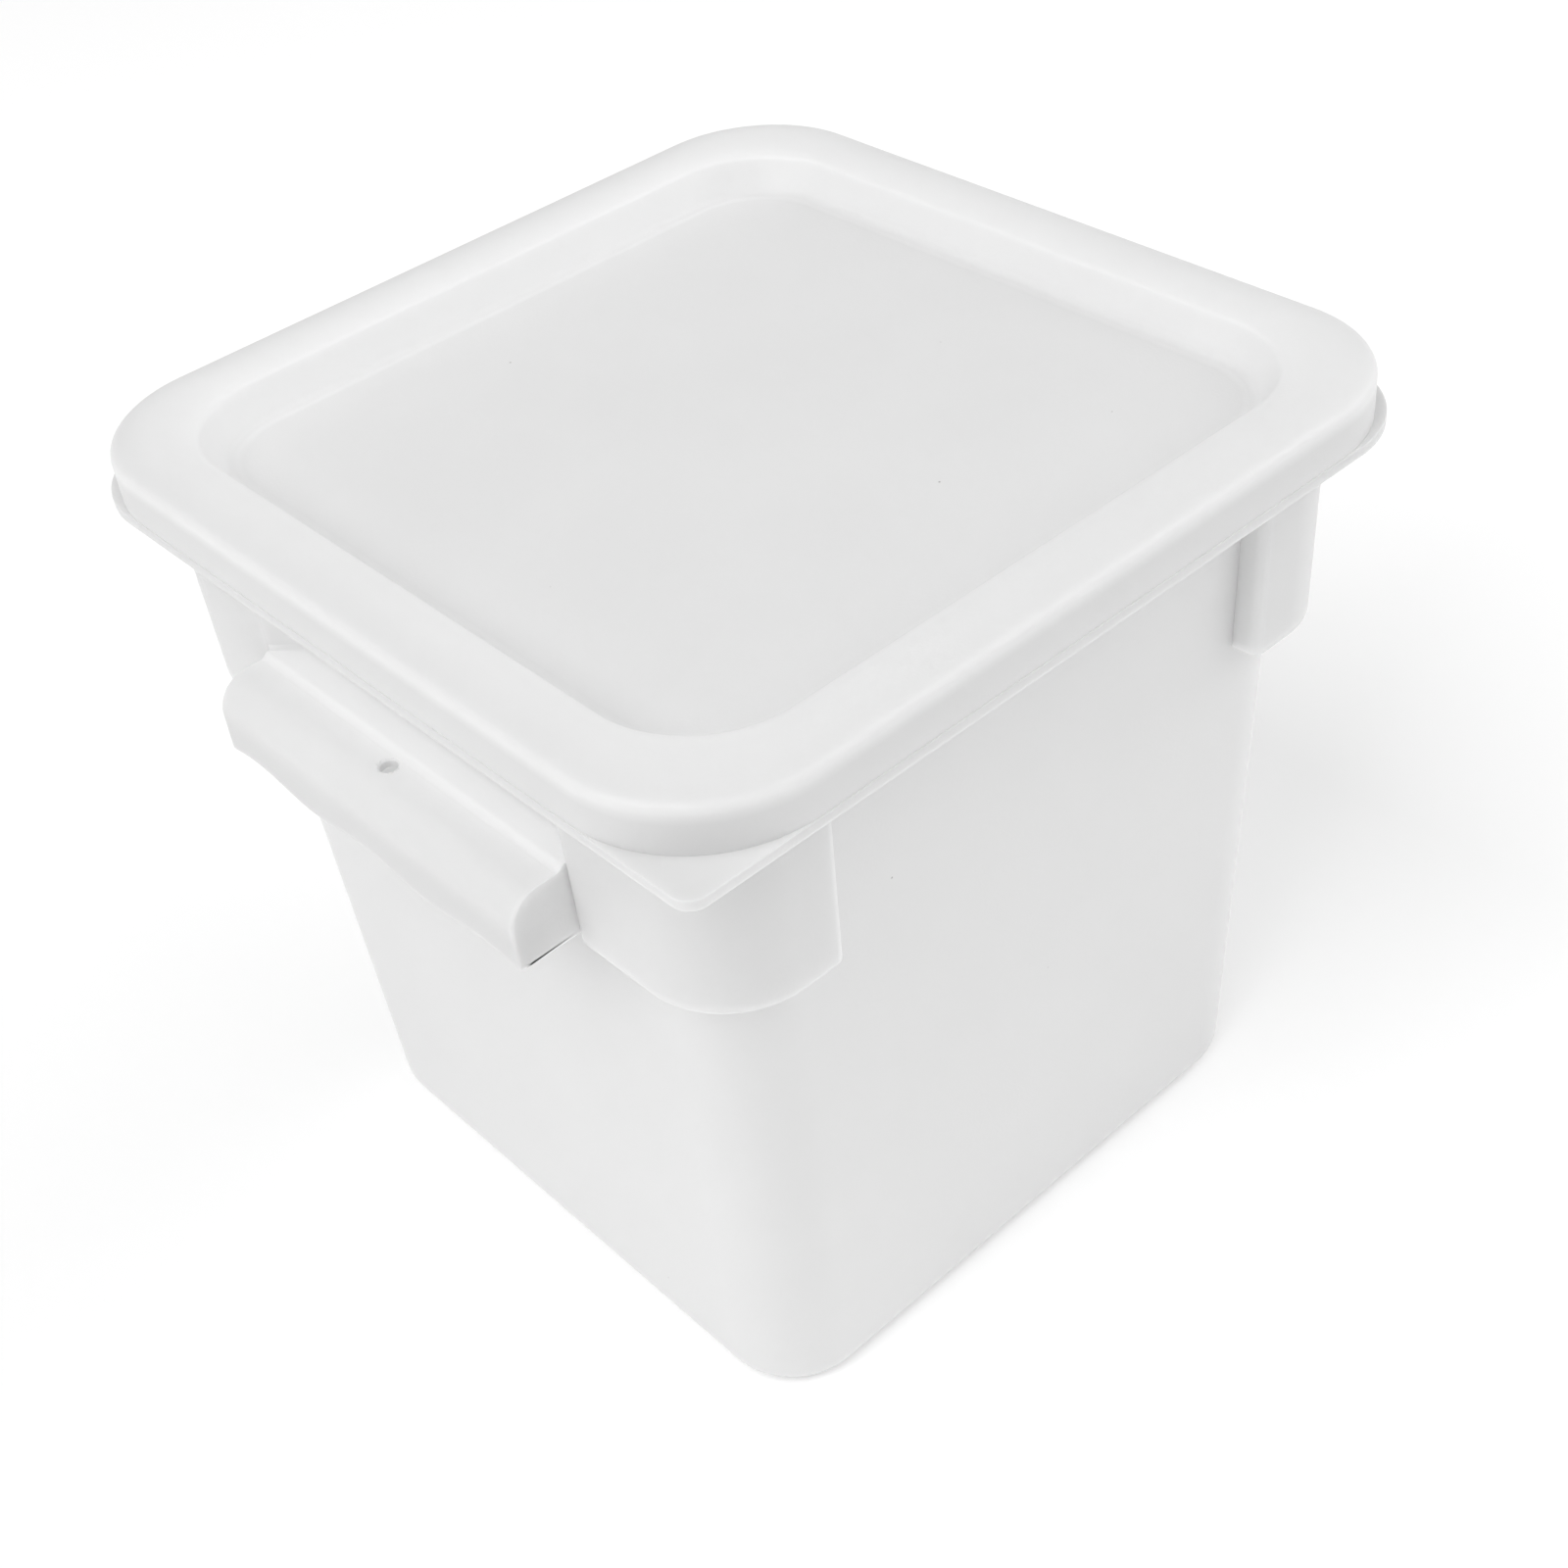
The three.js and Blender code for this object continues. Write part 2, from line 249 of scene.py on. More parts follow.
def skin(name: str, plan: np.ndarray, height: np.ndarray,
         body: float | np.ndarray = PLAIN_SHADING) -> bpy.types.Mesh:
    """Makes a closed mesh from rings of points; rings that shrink to a point close its ends.

    Args:
        name: name of the mesh.
        plan: plan points by ring, sample and axis, in millimetres.
        height: heights by ring and sample, in millimetres.
        body: painted light and shade at each point, from nothing to one, partly standing for how much
            plastic lies behind it.

    Returns:
        The mesh, with coinciding points merged and faces outwards.
    """
    rings, samples = height.shape
    points = np.concatenate([plan, height[..., None]], axis=2).reshape(-1, 3) * MM
    ring, sample = np.meshgrid(np.arange(rings - 1), np.arange(samples), indexing="ij")
    after = (sample + 1) % samples
    low, high = ring * samples, (ring + 1) * samples
    quads = np.stack([low + sample, low + after, high + after, high + sample], axis=-1)
    mesh = bpy.data.meshes.new(name)
    mesh.from_pydata(points, [], quads.reshape(-1, 4))
    layer = mesh.attributes.new(SHADING_LAYER, "FLOAT", "POINT")
    layer.data.foreach_set("value", np.full(height.shape, body, dtype=np.float32).ravel())
    edit = bmesh.new()
    edit.from_mesh(mesh)
    bmesh.ops.remove_doubles(edit, verts=edit.verts, dist=MERGE_DISTANCE)
    bmesh.ops.dissolve_degenerate(edit, edges=edit.edges, dist=MERGE_DISTANCE)
    edit.to_mesh(mesh)
    edit.free()
    return mesh


def smooth(mesh: bpy.types.Mesh) -> None:
    """Shades a mesh smooth, apart from the edges that are really sharp."""
    mesh.shade_smooth()
    mesh.set_sharp_from_angle(angle=math.radians(SHARP_ANGLE))


def add_object(name: str, mesh: bpy.types.Mesh) -> bpy.types.Object:
    """Links a mesh to the scene as an object at the origin.

    Args:
        name: name of the object.
        mesh: its mesh.

    Returns:
        The object.
    """
    piece = bpy.data.objects.new(name, mesh)
    bpy.context.scene.collection.objects.link(piece)
    return piece


def cut(piece: bpy.types.Object, cutters: list[bpy.types.Object]) -> None:
    """Takes the cutters out of a piece, for good, and removes them.

    Args:
        piece: object to cut.
        cutters: closed objects that overlap it.
    """
    for cutter in cutters:
        knife = piece.modifiers.new(cutter.name, "BOOLEAN")
        knife.operation = "DIFFERENCE"
        knife.solver = "EXACT"
        knife.object = cutter
    view = bpy.context.evaluated_depsgraph_get()
    before = piece.data
    piece.data = bpy.data.meshes.new_from_object(piece.evaluated_get(view))
    piece.modifiers.clear()
    piece.data.name = before.name
    bpy.data.meshes.remove(before)
    for cutter in cutters:
        bpy.data.objects.remove(cutter)


def add_node(tree: bpy.types.NodeTree, kind: str, values: dict | None = None,
             links: dict | None = None, **settings: object) -> bpy.types.Node:
    """Adds a node with its settings, socket values and links.

    Args:
        tree: node tree to add to.
        kind: node type.
        values: constants by socket name or number.
        links: source sockets by socket name or number.
        **settings: properties of the node itself.

    Returns:
        The node.
    """
    node = tree.nodes.new(kind)
    for key, value in settings.items():
        setattr(node, key, value)
    for key, value in (values or {}).items():
        node.inputs[key].default_value = value
    for key, source in (links or {}).items():
        tree.links.new(source, node.inputs[key])
    return node


@dataclass(frozen=True)
class MouldedPolyethylene:
    """White high-density polyethylene, injection moulded in a finely sparked tool.

    To the eye it is milky and a little see-through at thin edges, with a satin sheen, a fine grain
    that sparkles along tight bends, faint clouds in the white and a few dark specks in the melt.
    """

    name: str
    # Painted shade and painted light of the vertex layer: the grey of thin edges and the white of
    # thick plastic, used for light and shade as well.
    shaded_thin_colour: str = "#cfcfcf"
    lit_thick_colour: str = "#f6f6f6"
    cloud_share: float = 0.12
    speck_colour: str = "#8f8c8a"
    roughness: float = 0.5
    roughness_spread: float = 0.06
    ior: float = 1.53
    milkiness: float = 0.8
    light_depth: float = 6.0
    cloud_size: float = 55.0
    speck_spacing: float = 26.0
    speck_radius: float = 0.45
    # Share of a speck's radius within which it is darkest, and how dark that is.
    speck_core: float = 0.4
    speck_strength: float = 0.8
    # The tool's grain is about 0.1 mm and is drawn coarser so that it shows.
    grain_size: float = 0.9
    grain_depth: float = 0.035
    sink_size: float = 48.0
    sink_depth: float = 0.25

    def build(self) -> bpy.types.Material:
        """Makes the material from the painted light and shade of the vertex layer, clouds, specks,
        grain and slow sinks on Object coordinates.

        Returns:
            The material.
        """
        material = bpy.data.materials.new(self.name)
        material.use_nodes = True
        tree = material.node_tree
        tree.nodes.clear()
        place = add_node(tree, "ShaderNodeTexCoord").outputs["Object"]
        cloud = add_node(
            tree, "ShaderNodeTexNoise", {"Scale": 1 / (self.cloud_size * MM), "Detail": 3.0},
            {"Vector": place},
        ).outputs["Fac"]
        white = self.white(tree, cloud)
        rub = add_node(
            tree, "ShaderNodeMapRange",
            {"To Min": self.roughness - self.roughness_spread,
             "To Max": self.roughness + self.roughness_spread},
            {"Value": cloud},
        )
        surface = add_node(
            tree, "ShaderNodeBsdfPrincipled",
            {"IOR": self.ior, "Subsurface Weight": self.milkiness,
             "Subsurface Radius": (1.0, 1.0, 1.0), "Subsurface Scale": self.light_depth * MM},
            {"Base Color": self.specked(tree, place, white), "Roughness": rub.outputs["Result"],
             "Normal": self.relief(tree, place)},
        )
        add_node(tree, "ShaderNodeOutputMaterial", links={"Surface": surface.outputs["BSDF"]})
        return material

    def white(self, tree: bpy.types.NodeTree, cloud: bpy.types.NodeSocket) -> bpy.types.NodeSocket:
        """Passes from the shaded to the lit white by the painted light and shade of the vertex layer,
        which partly stands for the plastic behind the surface, and by the clouds.

        Args:
            tree: node tree to add to.
            cloud: noise of the clouds.

        Returns:
            The colour.
        """
        drift = add_node(
            tree, "ShaderNodeMapRange",
            {"To Min": -self.cloud_share / 2, "To Max": self.cloud_share / 2}, {"Value": cloud},
        )
        body = add_node(tree, "ShaderNodeAttribute", attribute_name=SHADING_LAYER)
        # Painted light and shade of the vertex layer, shifted by the clouds.
        depth = add_node(
            tree, "ShaderNodeMath", links={0: body.outputs["Fac"], 1: drift.outputs["Result"]},
        )
        mix = add_node(
            tree, "ShaderNodeMix",
            {MIX_FIRST: linear(self.shaded_thin_colour), MIX_SECOND: linear(self.lit_thick_colour)},
            {MIX_SHARE: depth.outputs["Value"]}, data_type="RGBA",
        )
        return mix.outputs[MIX_RESULT]

    def specked(self, tree: bpy.types.NodeTree, place: bpy.types.NodeSocket,
                colour: bpy.types.NodeSocket) -> bpy.types.NodeSocket:
        """Puts dark specks into a colour, at the middles of Voronoi cells.

        Args:
            tree: node tree to add to.
            place: Object coordinates.
            colour: colour between the specks.

        Returns:
            The colour with specks.
        """
        spots = add_node(
            tree, "ShaderNodeTexVoronoi", {"Scale": 1 / (self.speck_spacing * MM)},
            {"Vector": place},
        )
        edge = self.speck_radius / self.speck_spacing
        speck = add_node(
            tree, "ShaderNodeMapRange",
            {"From Min": edge, "From Max": self.speck_core * edge, "To Max": self.speck_strength},
            {"Value": spots.outputs["Distance"]},
        )
        mix = add_node(
            tree, "ShaderNodeMix", {MIX_SECOND: linear(self.speck_colour)},
            {MIX_SHARE: speck.outputs["Result"], MIX_FIRST: colour}, data_type="RGBA",
        )
        return mix.outputs[MIX_RESULT]

    def relief(self, tree: bpy.types.NodeTree, place: bpy.types.NodeSocket) -> bpy.types.NodeSocket:
        """Lays the tool's fine grain over slow sinks, both as bumps of noise.

        Args:
            tree: node tree to add to.
            place: Object coordinates.

        Returns:
            The bumped normal.
        """
        below = {}
        for size, depth, detail in (
            (self.sink_size, self.sink_depth, 1.0),
            (self.grain_size, self.grain_depth, 2.0),
        ):
            noise = add_node(
                tree, "ShaderNodeTexNoise", {"Scale": 1 / (size * MM), "Detail": detail},
                {"Vector": place},
            )
            bump = add_node(
                tree, "ShaderNodeBump", {"Strength": 1.0, "Distance": depth * MM},
                {"Height": noise.outputs["Fac"], **below},
            )
            below = {"Normal": bump.outputs["Normal"]}
        return below["Normal"]


@dataclass(frozen=True)
class PaleBoard:
    """Matt painted board, evenly lit, for the floor: it shows nothing but a soft shadow."""

    name: str = "matt_painted_board"
    colour: str = "#fbfbfb"
    roughness: float = 0.9
    glow: float = 0.08

    def build(self) -> bpy.types.Material:
        """Makes the floor's material.

        Returns:
            The material.
        """
        material = bpy.data.materials.new(self.name)
        material.use_nodes = True
        surface = material.node_tree.nodes["Principled BSDF"]
        surface.inputs["Base Color"].default_value = linear(self.colour)
        surface.inputs["Roughness"].default_value = self.roughness
        surface.inputs["Emission Color"].default_value = linear(self.colour)
        surface.inputs["Emission Strength"].default_value = self.glow
        return material


@dataclass(frozen=True)
class Crown:
    """The arched top of the rim and of the lid's bead, which share a centre.

    The crown is level at the crest and runs into the bead's small edge arc. Its radius follows from
    the run and the drop between the crest and that arc's centre.
    """

    crest_half: float
    top: float
    edge_half: float
    drop: float
    edge_radius: float

    @property
    def radius(self) -> float:
        """Radius of the crown's outside."""
        run = self.edge_half - self.edge_radius - self.crest_half
        return (run**2 + self.drop**2 - self.edge_radius**2) / (2 * (self.drop - self.edge_radius))

    @property
    def centre(self) -> tuple[float, float]:
        """Centre of the crown's arcs."""
        return self.crest_half, self.top - self.radius

    @property
    def end(self) -> float:
        """Angle in degrees where the crown runs into the edge arc."""
        run = self.edge_half - self.edge_radius - self.crest_half
        return math.degrees(math.atan2(self.radius - self.drop, run))

    def arc_between(self, inset: float, first: float, last: float, count: int) -> np.ndarray:
        """Points of the arc that lies inset below the crown, from one half-width to another.

        Args:
            inset: depth below the crown.
            first: half-width of the first point.
            last: half-width of the last point.
            count: number of points.

        Returns:
            Rows of half-width and height.
        """
        radius = self.radius - inset
        angles = np.degrees(np.arccos((np.array([first, last]) - self.crest_half) / radius))
        return arc(self.centre, radius, angles[0], angles[1], count)


@dataclass(frozen=True)
class LidPoints:
    """How many points the stretches of one face of the lid's section have."""

    panel: int
    foot: int
    slope: int
    turn: int
    crown: int
    edge: int
    skirt: int


@dataclass
class Lid:
    """The lid: recessed panel, bead over the rim, skirt, lower lip and the lift tab in front."""

    thickness: float = 2.6
    top: float = 278.0
    half: float = 143.0
    turn_half: float = 123.8
    corner_centre: float = 101.0
    bead_crown: float = 4.8
    bead_edge_radius: float = 3.0
    recess_depth: float = 13.3
    recess_slope: float = 60.0
    panel_corner_radius: float = 26.0
    panel_foot_radius: float = 3.5
    skirt_height: float = 15.5
    lip_thickness: float = 3.3
    lip_proud: float = 0.4
    lip_edge_radius: float = 0.3
    lip_corner_radius: float = 34.5
    tab_corner_radius: float = 6.0
    # Painted light and shade on the panel, the recess's wall, the bead and what hangs from it, partly
    # standing for the plastic behind them: painted light on the recess's wall and the bead's turn,
    # painted shade on the skirt and the lip. The panel passes into the wall over the fade's width.
    panel_shading: float = 0.48
    panel_fade: float = 4.0
    wall_shading: float = 1.0
    turn_shading: float = 0.88
    crest_shading: float = 0.66
    edge_shading: float = 0.47
    skirt_shading: float = 0.22
    lip_shading: float = 0.0
    side_reach: float = 86.0
    side_steps: int = 18
    corner_steps: int = 28
    under: LidPoints = LidPoints(panel=7, foot=9, slope=8, turn=4, crown=21, edge=4, skirt=8)
    over: LidPoints = LidPoints(panel=24, foot=9, slope=10, turn=11, crown=29, edge=9, skirt=9)
    skirt_foot_points: int = 4
    lip_edge_points: int = 5

    def crown(self) -> Crown:
        """Works out the bead's crown, which is even between its two edge arcs.

        Returns:
            The crown.
        """
        return Crown(
            crest_half=(self.half - self.bead_edge_radius + self.turn_half) / 2,
            top=self.top,
            edge_half=self.half,
            drop=self.bead_crown,
            edge_radius=self.bead_edge_radius,
        )

    def panel_half(self) -> float:
        """Works inwards from the bead's turn along the slope and the foot's arc.

        Returns:
            Half-width of the flat panel.
        """
        slope = math.radians(self.recess_slope)
        turn = self.bead_edge_radius * math.cos(slope) - self.panel_foot_radius * (1 - math.cos(slope))
        drop = self.recess_depth - self.bead_crown + turn
        bends = (self.bead_edge_radius + self.panel_foot_radius) * math.sin(slope)
        return self.turn_half - bends - drop / math.tan(slope)

    def rounded(self, points: np.ndarray) -> np.ndarray:
        """Gives rows their corner radius.

        The outside of the bead shares the rim's corner centres and the recess shares the panel's.
        Over the inner half of the crown the centre passes from one to the other, slowly at both
        ends: three times the square of the share less twice its cube.

        Args:
            points: rows of half-width and height.

        Returns:
            Stations of half-width, height and corner radius.
        """
        half = points[:, 0]
        crest = self.crown().crest_half
        share = np.clip((half - self.turn_half) / (crest - self.turn_half), 0.0, 1.0)
        inner = self.panel_half() - self.panel_corner_radius
        centre = inner + share * share * (3 - 2 * share) * (self.corner_centre - inner)
        return stations(points, half - np.minimum(centre, inner * half / self.panel_half()))

    def lipped(self, points: np.ndarray) -> np.ndarray:
        """Gives rows of the lip its own corner radius."""
        lip_half = self.half + self.lip_proud
        return stations(points, self.lip_corner_radius + points[:, 0] - lip_half)

    def section(self) -> tuple[np.ndarray, np.ndarray]:
        """Runs the section from the middle of the underside round the skirt to the panel's middle.

        Returns:
            Stations of half-width, height and corner radius, and which of them are on the lip.
        """
        crown = self.crown()
        under, over = self.under, self.over
        edge_height = self.top - self.bead_crown
        skirt_bottom = edge_height - self.skirt_height
        skirt_inner = self.half - self.thickness
        lip_top = skirt_bottom + self.lip_thickness
        lip_half = self.half + self.lip_proud
        edge = self.lip_edge_radius
        panel_half = self.panel_half()
        panel_top = self.top - self.recess_depth
        panel_under = panel_top - self.thickness
        foot_centre = (panel_half, panel_top + self.panel_foot_radius)
        turn_centre = (self.turn_half, edge_height)
        edge_centre = (self.half - self.bead_edge_radius, edge_height)
        under_radius = self.bead_edge_radius - self.thickness
        slope_end = 90 + self.recess_slope
        foot_under = arc(foot_centre, self.panel_foot_radius + self.thickness,
                         -90, self.recess_slope - 90, under.foot)
        turn_under = arc(turn_centre, under_radius, slope_end, 180 - crown.end, under.turn)
        turn = arc(turn_centre, self.bead_edge_radius, 180 - crown.end, slope_end, over.turn)
        foot = arc(foot_centre, self.panel_foot_radius, self.recess_slope - 90, -90, over.foot)
        inside = [
            line((0.0, panel_under), (panel_half, panel_under), under.panel),
            foot_under,
            line(foot_under[-1], turn_under[0], under.slope)[1:],
            turn_under,
            arc(crown.centre, crown.radius - self.thickness, 180 - crown.end, crown.end,
                under.crown)[1:],
            arc(edge_centre, under_radius, crown.end, 0, under.edge)[1:],
            line((skirt_inner, edge_height), (skirt_inner, skirt_bottom), under.skirt)[1:],
            line((skirt_inner, skirt_bottom), (self.half, skirt_bottom), self.skirt_foot_points),
        ]
        lip = [
            arc((lip_half - edge, skirt_bottom + edge), edge, -90, 0, self.lip_edge_points),
            arc((lip_half - edge, lip_top - edge), edge, 0, 90, self.lip_edge_points),
        ]
        outside = [
            line((self.half, lip_top), (self.half, edge_height), over.skirt),
            arc(edge_centre, self.bead_edge_radius, 0, crown.end, over.edge),
            arc(crown.centre, crown.radius, crown.end, 180 - crown.end, over.crown)[1:],
            turn[1:],
            line(turn[-1], foot[0], over.slope)[1:],
            foot,
            line((panel_half, panel_top), (0.0, panel_top), over.panel)[1:],
            np.array([[0.0, panel_top]]),
        ]
        parts = [
            self.rounded(np.vstack(inside)),
            self.lipped(np.vstack(lip)),
            self.rounded(np.vstack(outside)),
        ]
        on_lip = np.repeat([False, True, False], [len(part) for part in parts])
        return np.vstack(parts), on_lip

    def mesh(self) -> bpy.types.Mesh:
        """Carries the section round the square; the lip's corner in front is nearly square.

        Returns:
            The closed mesh.
        """
        side = np.linspace(-self.side_reach, self.side_reach, self.side_steps + 1)
        path = SquarePath.around(side, side, self.corner_steps)
        section, on_lip = self.section()
        samples = len(path.normal)
        half = np.repeat(section[:, :1], samples, axis=1)
        radius = np.repeat(section[:, 2:], samples, axis=1)
        tab = on_lip[:, None] & path.front_corner()[None, :]
        lip_half = self.half + self.lip_proud
        radius = np.where(tab, self.tab_corner_radius + half - lip_half, radius)
        height = np.repeat(section[:, 1:2], samples, axis=1)
        return skin("lid_skin", path.place(half, radius), height, self.body(section, on_lip)[:, None])

    def body(self, section: np.ndarray, on_lip: np.ndarray) -> np.ndarray:
        """Tells the painted light and shade at each station.

        The values partly stand for the plastic behind: the panel is a sheet over the hollow, the
        recess's wall and the bead beside it are backed by the tub's rim, and the bead thins from there
        to its outer edge, the skirt and the lip. Beyond that they paint light on the recess's wall and
        shade on the skirt and the lip: straight lines between those values.

        Args:
            section: stations of half-width, height and corner radius.
            on_lip: which of them are on the lip.

        Returns:
            Shares from nothing to one.
        """
        half, height = section[:, 0], section[:, 1]
        foot_half = self.panel_half()
        edge_half = self.half - self.bead_edge_radius
        edge_height = self.top - self.bead_crown
        # Painted shade on the panel, painted light on the recess's wall, passing to painted shade at
        # the bead's outer edge.
        across = np.interp(
            half,
            [foot_half - self.panel_fade / 2, foot_half + self.panel_fade / 2, self.turn_half,
             self.crown().crest_half, edge_half],
            [self.panel_shading, self.wall_shading, self.turn_shading, self.crest_shading, self.edge_shading],
        )
        # Painted shade down the skirt; the lip is darkest.
        down = np.interp(height, [edge_height - self.bead_edge_radius, edge_height],
                         [self.skirt_shading, self.edge_shading])
        return np.where(on_lip, self.lip_shading, np.where(half > edge_half, down, across))

    def build(self, finish: MouldedPolyethylene) -> bpy.types.Object:
        """Builds, dresses and seats the lid.

        Args:
            finish: its plastic.

        Returns:
            The lid.
        """
        piece = add_object("lid_shell", self.mesh())
        smooth(piece.data)
        piece.data.materials.append(finish.build())
        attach(piece, Body.LID.value)
        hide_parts("lid")
        return piece


@dataclass(frozen=True)
class HandlePoints:
    """How many points the stretches of a handle's section have, from the wall round to the wall."""

    wall: int = 6
    roof: int = 5
    inner_bend: int = 9
    inner_lip: int = 5
    inner_edge: int = 5
    outer_edge: int = 6
    face: int = 6
    rounding: int = 16
    top: int = 5
    crease: int = 9
    strip: int = 4
    root: int = 6


@dataclass
class Handle:
    """A wing handle's sizes; its lower edge waves as a cosine along its length."""

    length: float = 142.0
    half: float = 149.0
    top: float = 220.0
    bottom: float = 196.4
    rounding: float = 10.5
    thickness: float = 2.8
    crease_half: float = 131.0
    crease_rise: float = 1.6
    crease_width: float = 3.0
    root_radius: float = 2.0
    edge_radius: float = 0.8
    end_radius: float = 1.2
    wave_height: float = 1.5
    wave_length: float = 56.0
    # Room between the wave's lowest points and the plain wall's stations below them.
    wave_room: float = 0.3
    hole_diameter: float = 5.5
    hole_inset: float = 13.3
    hole_depth: float = 7.0
    hole_steps: int = 40
    # Shares of the way from the lip's edge to the wall between which painted shade passes into painted
    # light, partly standing for the plastic thickening.
    dark_way: float = 0.22
    light_way: float = 0.9
    root_shading: float = 0.84
    points: HandlePoints = HandlePoints()

    def wave_share(self, height: np.ndarray) -> np.ndarray:
        """How far heights follow the wave: fully at the lower edge, not at all past the lip's face."""
        straight = self.top - self.rounding
        return np.clip((straight - height) / (straight - self.bottom), 0.0, 1.0)

    def outside(self, root_half: float) -> np.ndarray:
        """Points round the lip and over the top to the crease, the strip behind it and its root.

        The crease rises as three times the square of the way across it less twice its cube.

        Args:
            root_half: half-width where the strip turns up to the wall.

        Returns:
            Rows of half-width and height.
        """
        count, edge = self.points, self.edge_radius
        inside = self.half - self.thickness
        straight = self.top - self.rounding
        strip = self.top + self.crease_rise
        way = np.linspace(0.0, 1.0, count.crease)
        crease = np.column_stack([
            self.crease_half + self.crease_width * (0.5 - way),
            self.top + self.crease_rise * way * way * (3 - 2 * way),
        ])
        return np.vstack([
            arc((inside + edge, self.bottom + edge), edge, 180, 270, count.inner_edge),
            arc((self.half - edge, self.bottom + edge), edge, -90, 0, count.outer_edge),
            line((self.half, self.bottom + edge), (self.half, straight), count.face)[1:],
            arc((self.half - self.rounding, straight), self.rounding, 0, 90, count.rounding),
            line((self.half - self.rounding, self.top), (crease[0, 0], self.top), count.top)[1:],
            crease,
            line(crease[-1], (root_half, strip), count.strip)[1:],
            arc((root_half, strip + self.root_radius), self.root_radius, 270, 180, count.root),
        ])

    def grip_shading_ramp(self, outside: np.ndarray) -> np.ndarray:
        """Painted light and shade on the outside, partly standing for the plastic behind it: an even
        rise from painted shade at the lip to painted light at the root.

        Args:
            outside: rows of half-width and height.

        Returns:
            Shares from nothing to one.
        """
        length = np.cumsum(np.hypot(*np.diff(outside, axis=0, prepend=outside[:1]).T))
        return np.interp(
            length / length[-1], [self.dark_way, self.light_way], [0.0, self.root_shading])

    def hole_cutter(self, side: int) -> bpy.types.Object:
        """Makes the cylinder that cuts the hanging hole, with a small funnel at its mouth.

        Args:
            side: 1 for the handle at +X, -1 for the one at -X.

        Returns:
            The cutter.
        """
        radius = self.hole_diameter / 2
        below = self.top - self.hole_depth
        rim = self.edge_radius / 2
        profile = np.array([
            [0.0, below], [radius, below], [radius, self.top - rim], [radius + rim, self.top],
            [radius + rim, self.top + self.thickness], [0.0, self.top + self.thickness],
        ])
        angle = 2 * np.pi * np.arange(self.hole_steps) / self.hole_steps
        ring = np.stack([np.cos(angle), np.sin(angle)], axis=1)
        plan = profile[:, 0][:, None, None] * ring
        plan[..., 0] += side * (self.half - self.hole_inset)
        height = np.repeat(profile[:, 1:2], self.hole_steps, axis=1)
        return add_object("hole_cutter", skin("hole_cutter", plan, height))


class Section(Enum):
    """The kinds of section that the tub's wall passes through on its way round."""

    WALL = "plain wall"
    SHOULDER = "stacking shoulder"
    WEB = "end web of a handle"
    HOLLOW = "open underside of a handle"
    POCKET = "hollow inside a shoulder"


@dataclass(frozen=True)
class ShadingMarks:
    """What the tub's stations tell of the painted light and shade on them.

    They give a handle's painted shade and light, partly standing for its share of plastic, and mark
    the painted shadow lines at the feet's edges and the painted light in the nooks above handles.
    """

    grip_shading: np.ndarray
    foot_edge_shadow: np.ndarray
    nook_light: np.ndarray


@dataclass(frozen=True)
class TubPoints:
    """How many points the stretches of the tub's section and of its sides have."""

    base: int = 7
    base_edge: int = 11
    lower_wall: int = 12
    foot: int = 8
    upper_wall: int = 8
    flare: int = 10
    neck: int = 5
    arch_under: int = 9
    arch_over: int = 15
    rim_line: int = 6
    rim_edge: int = 5
    mouth: int = 8
    pocket_wall: int = 10
    pocket_turn: int = 6
    pocket_floor: int = 6
    inner_wall: int = 12
    floor_edge: int = 9
    floor: int = 8
    plain_half: int = 12
    handle_half: int = 32
    splay: int = 15
    edge: int = 9


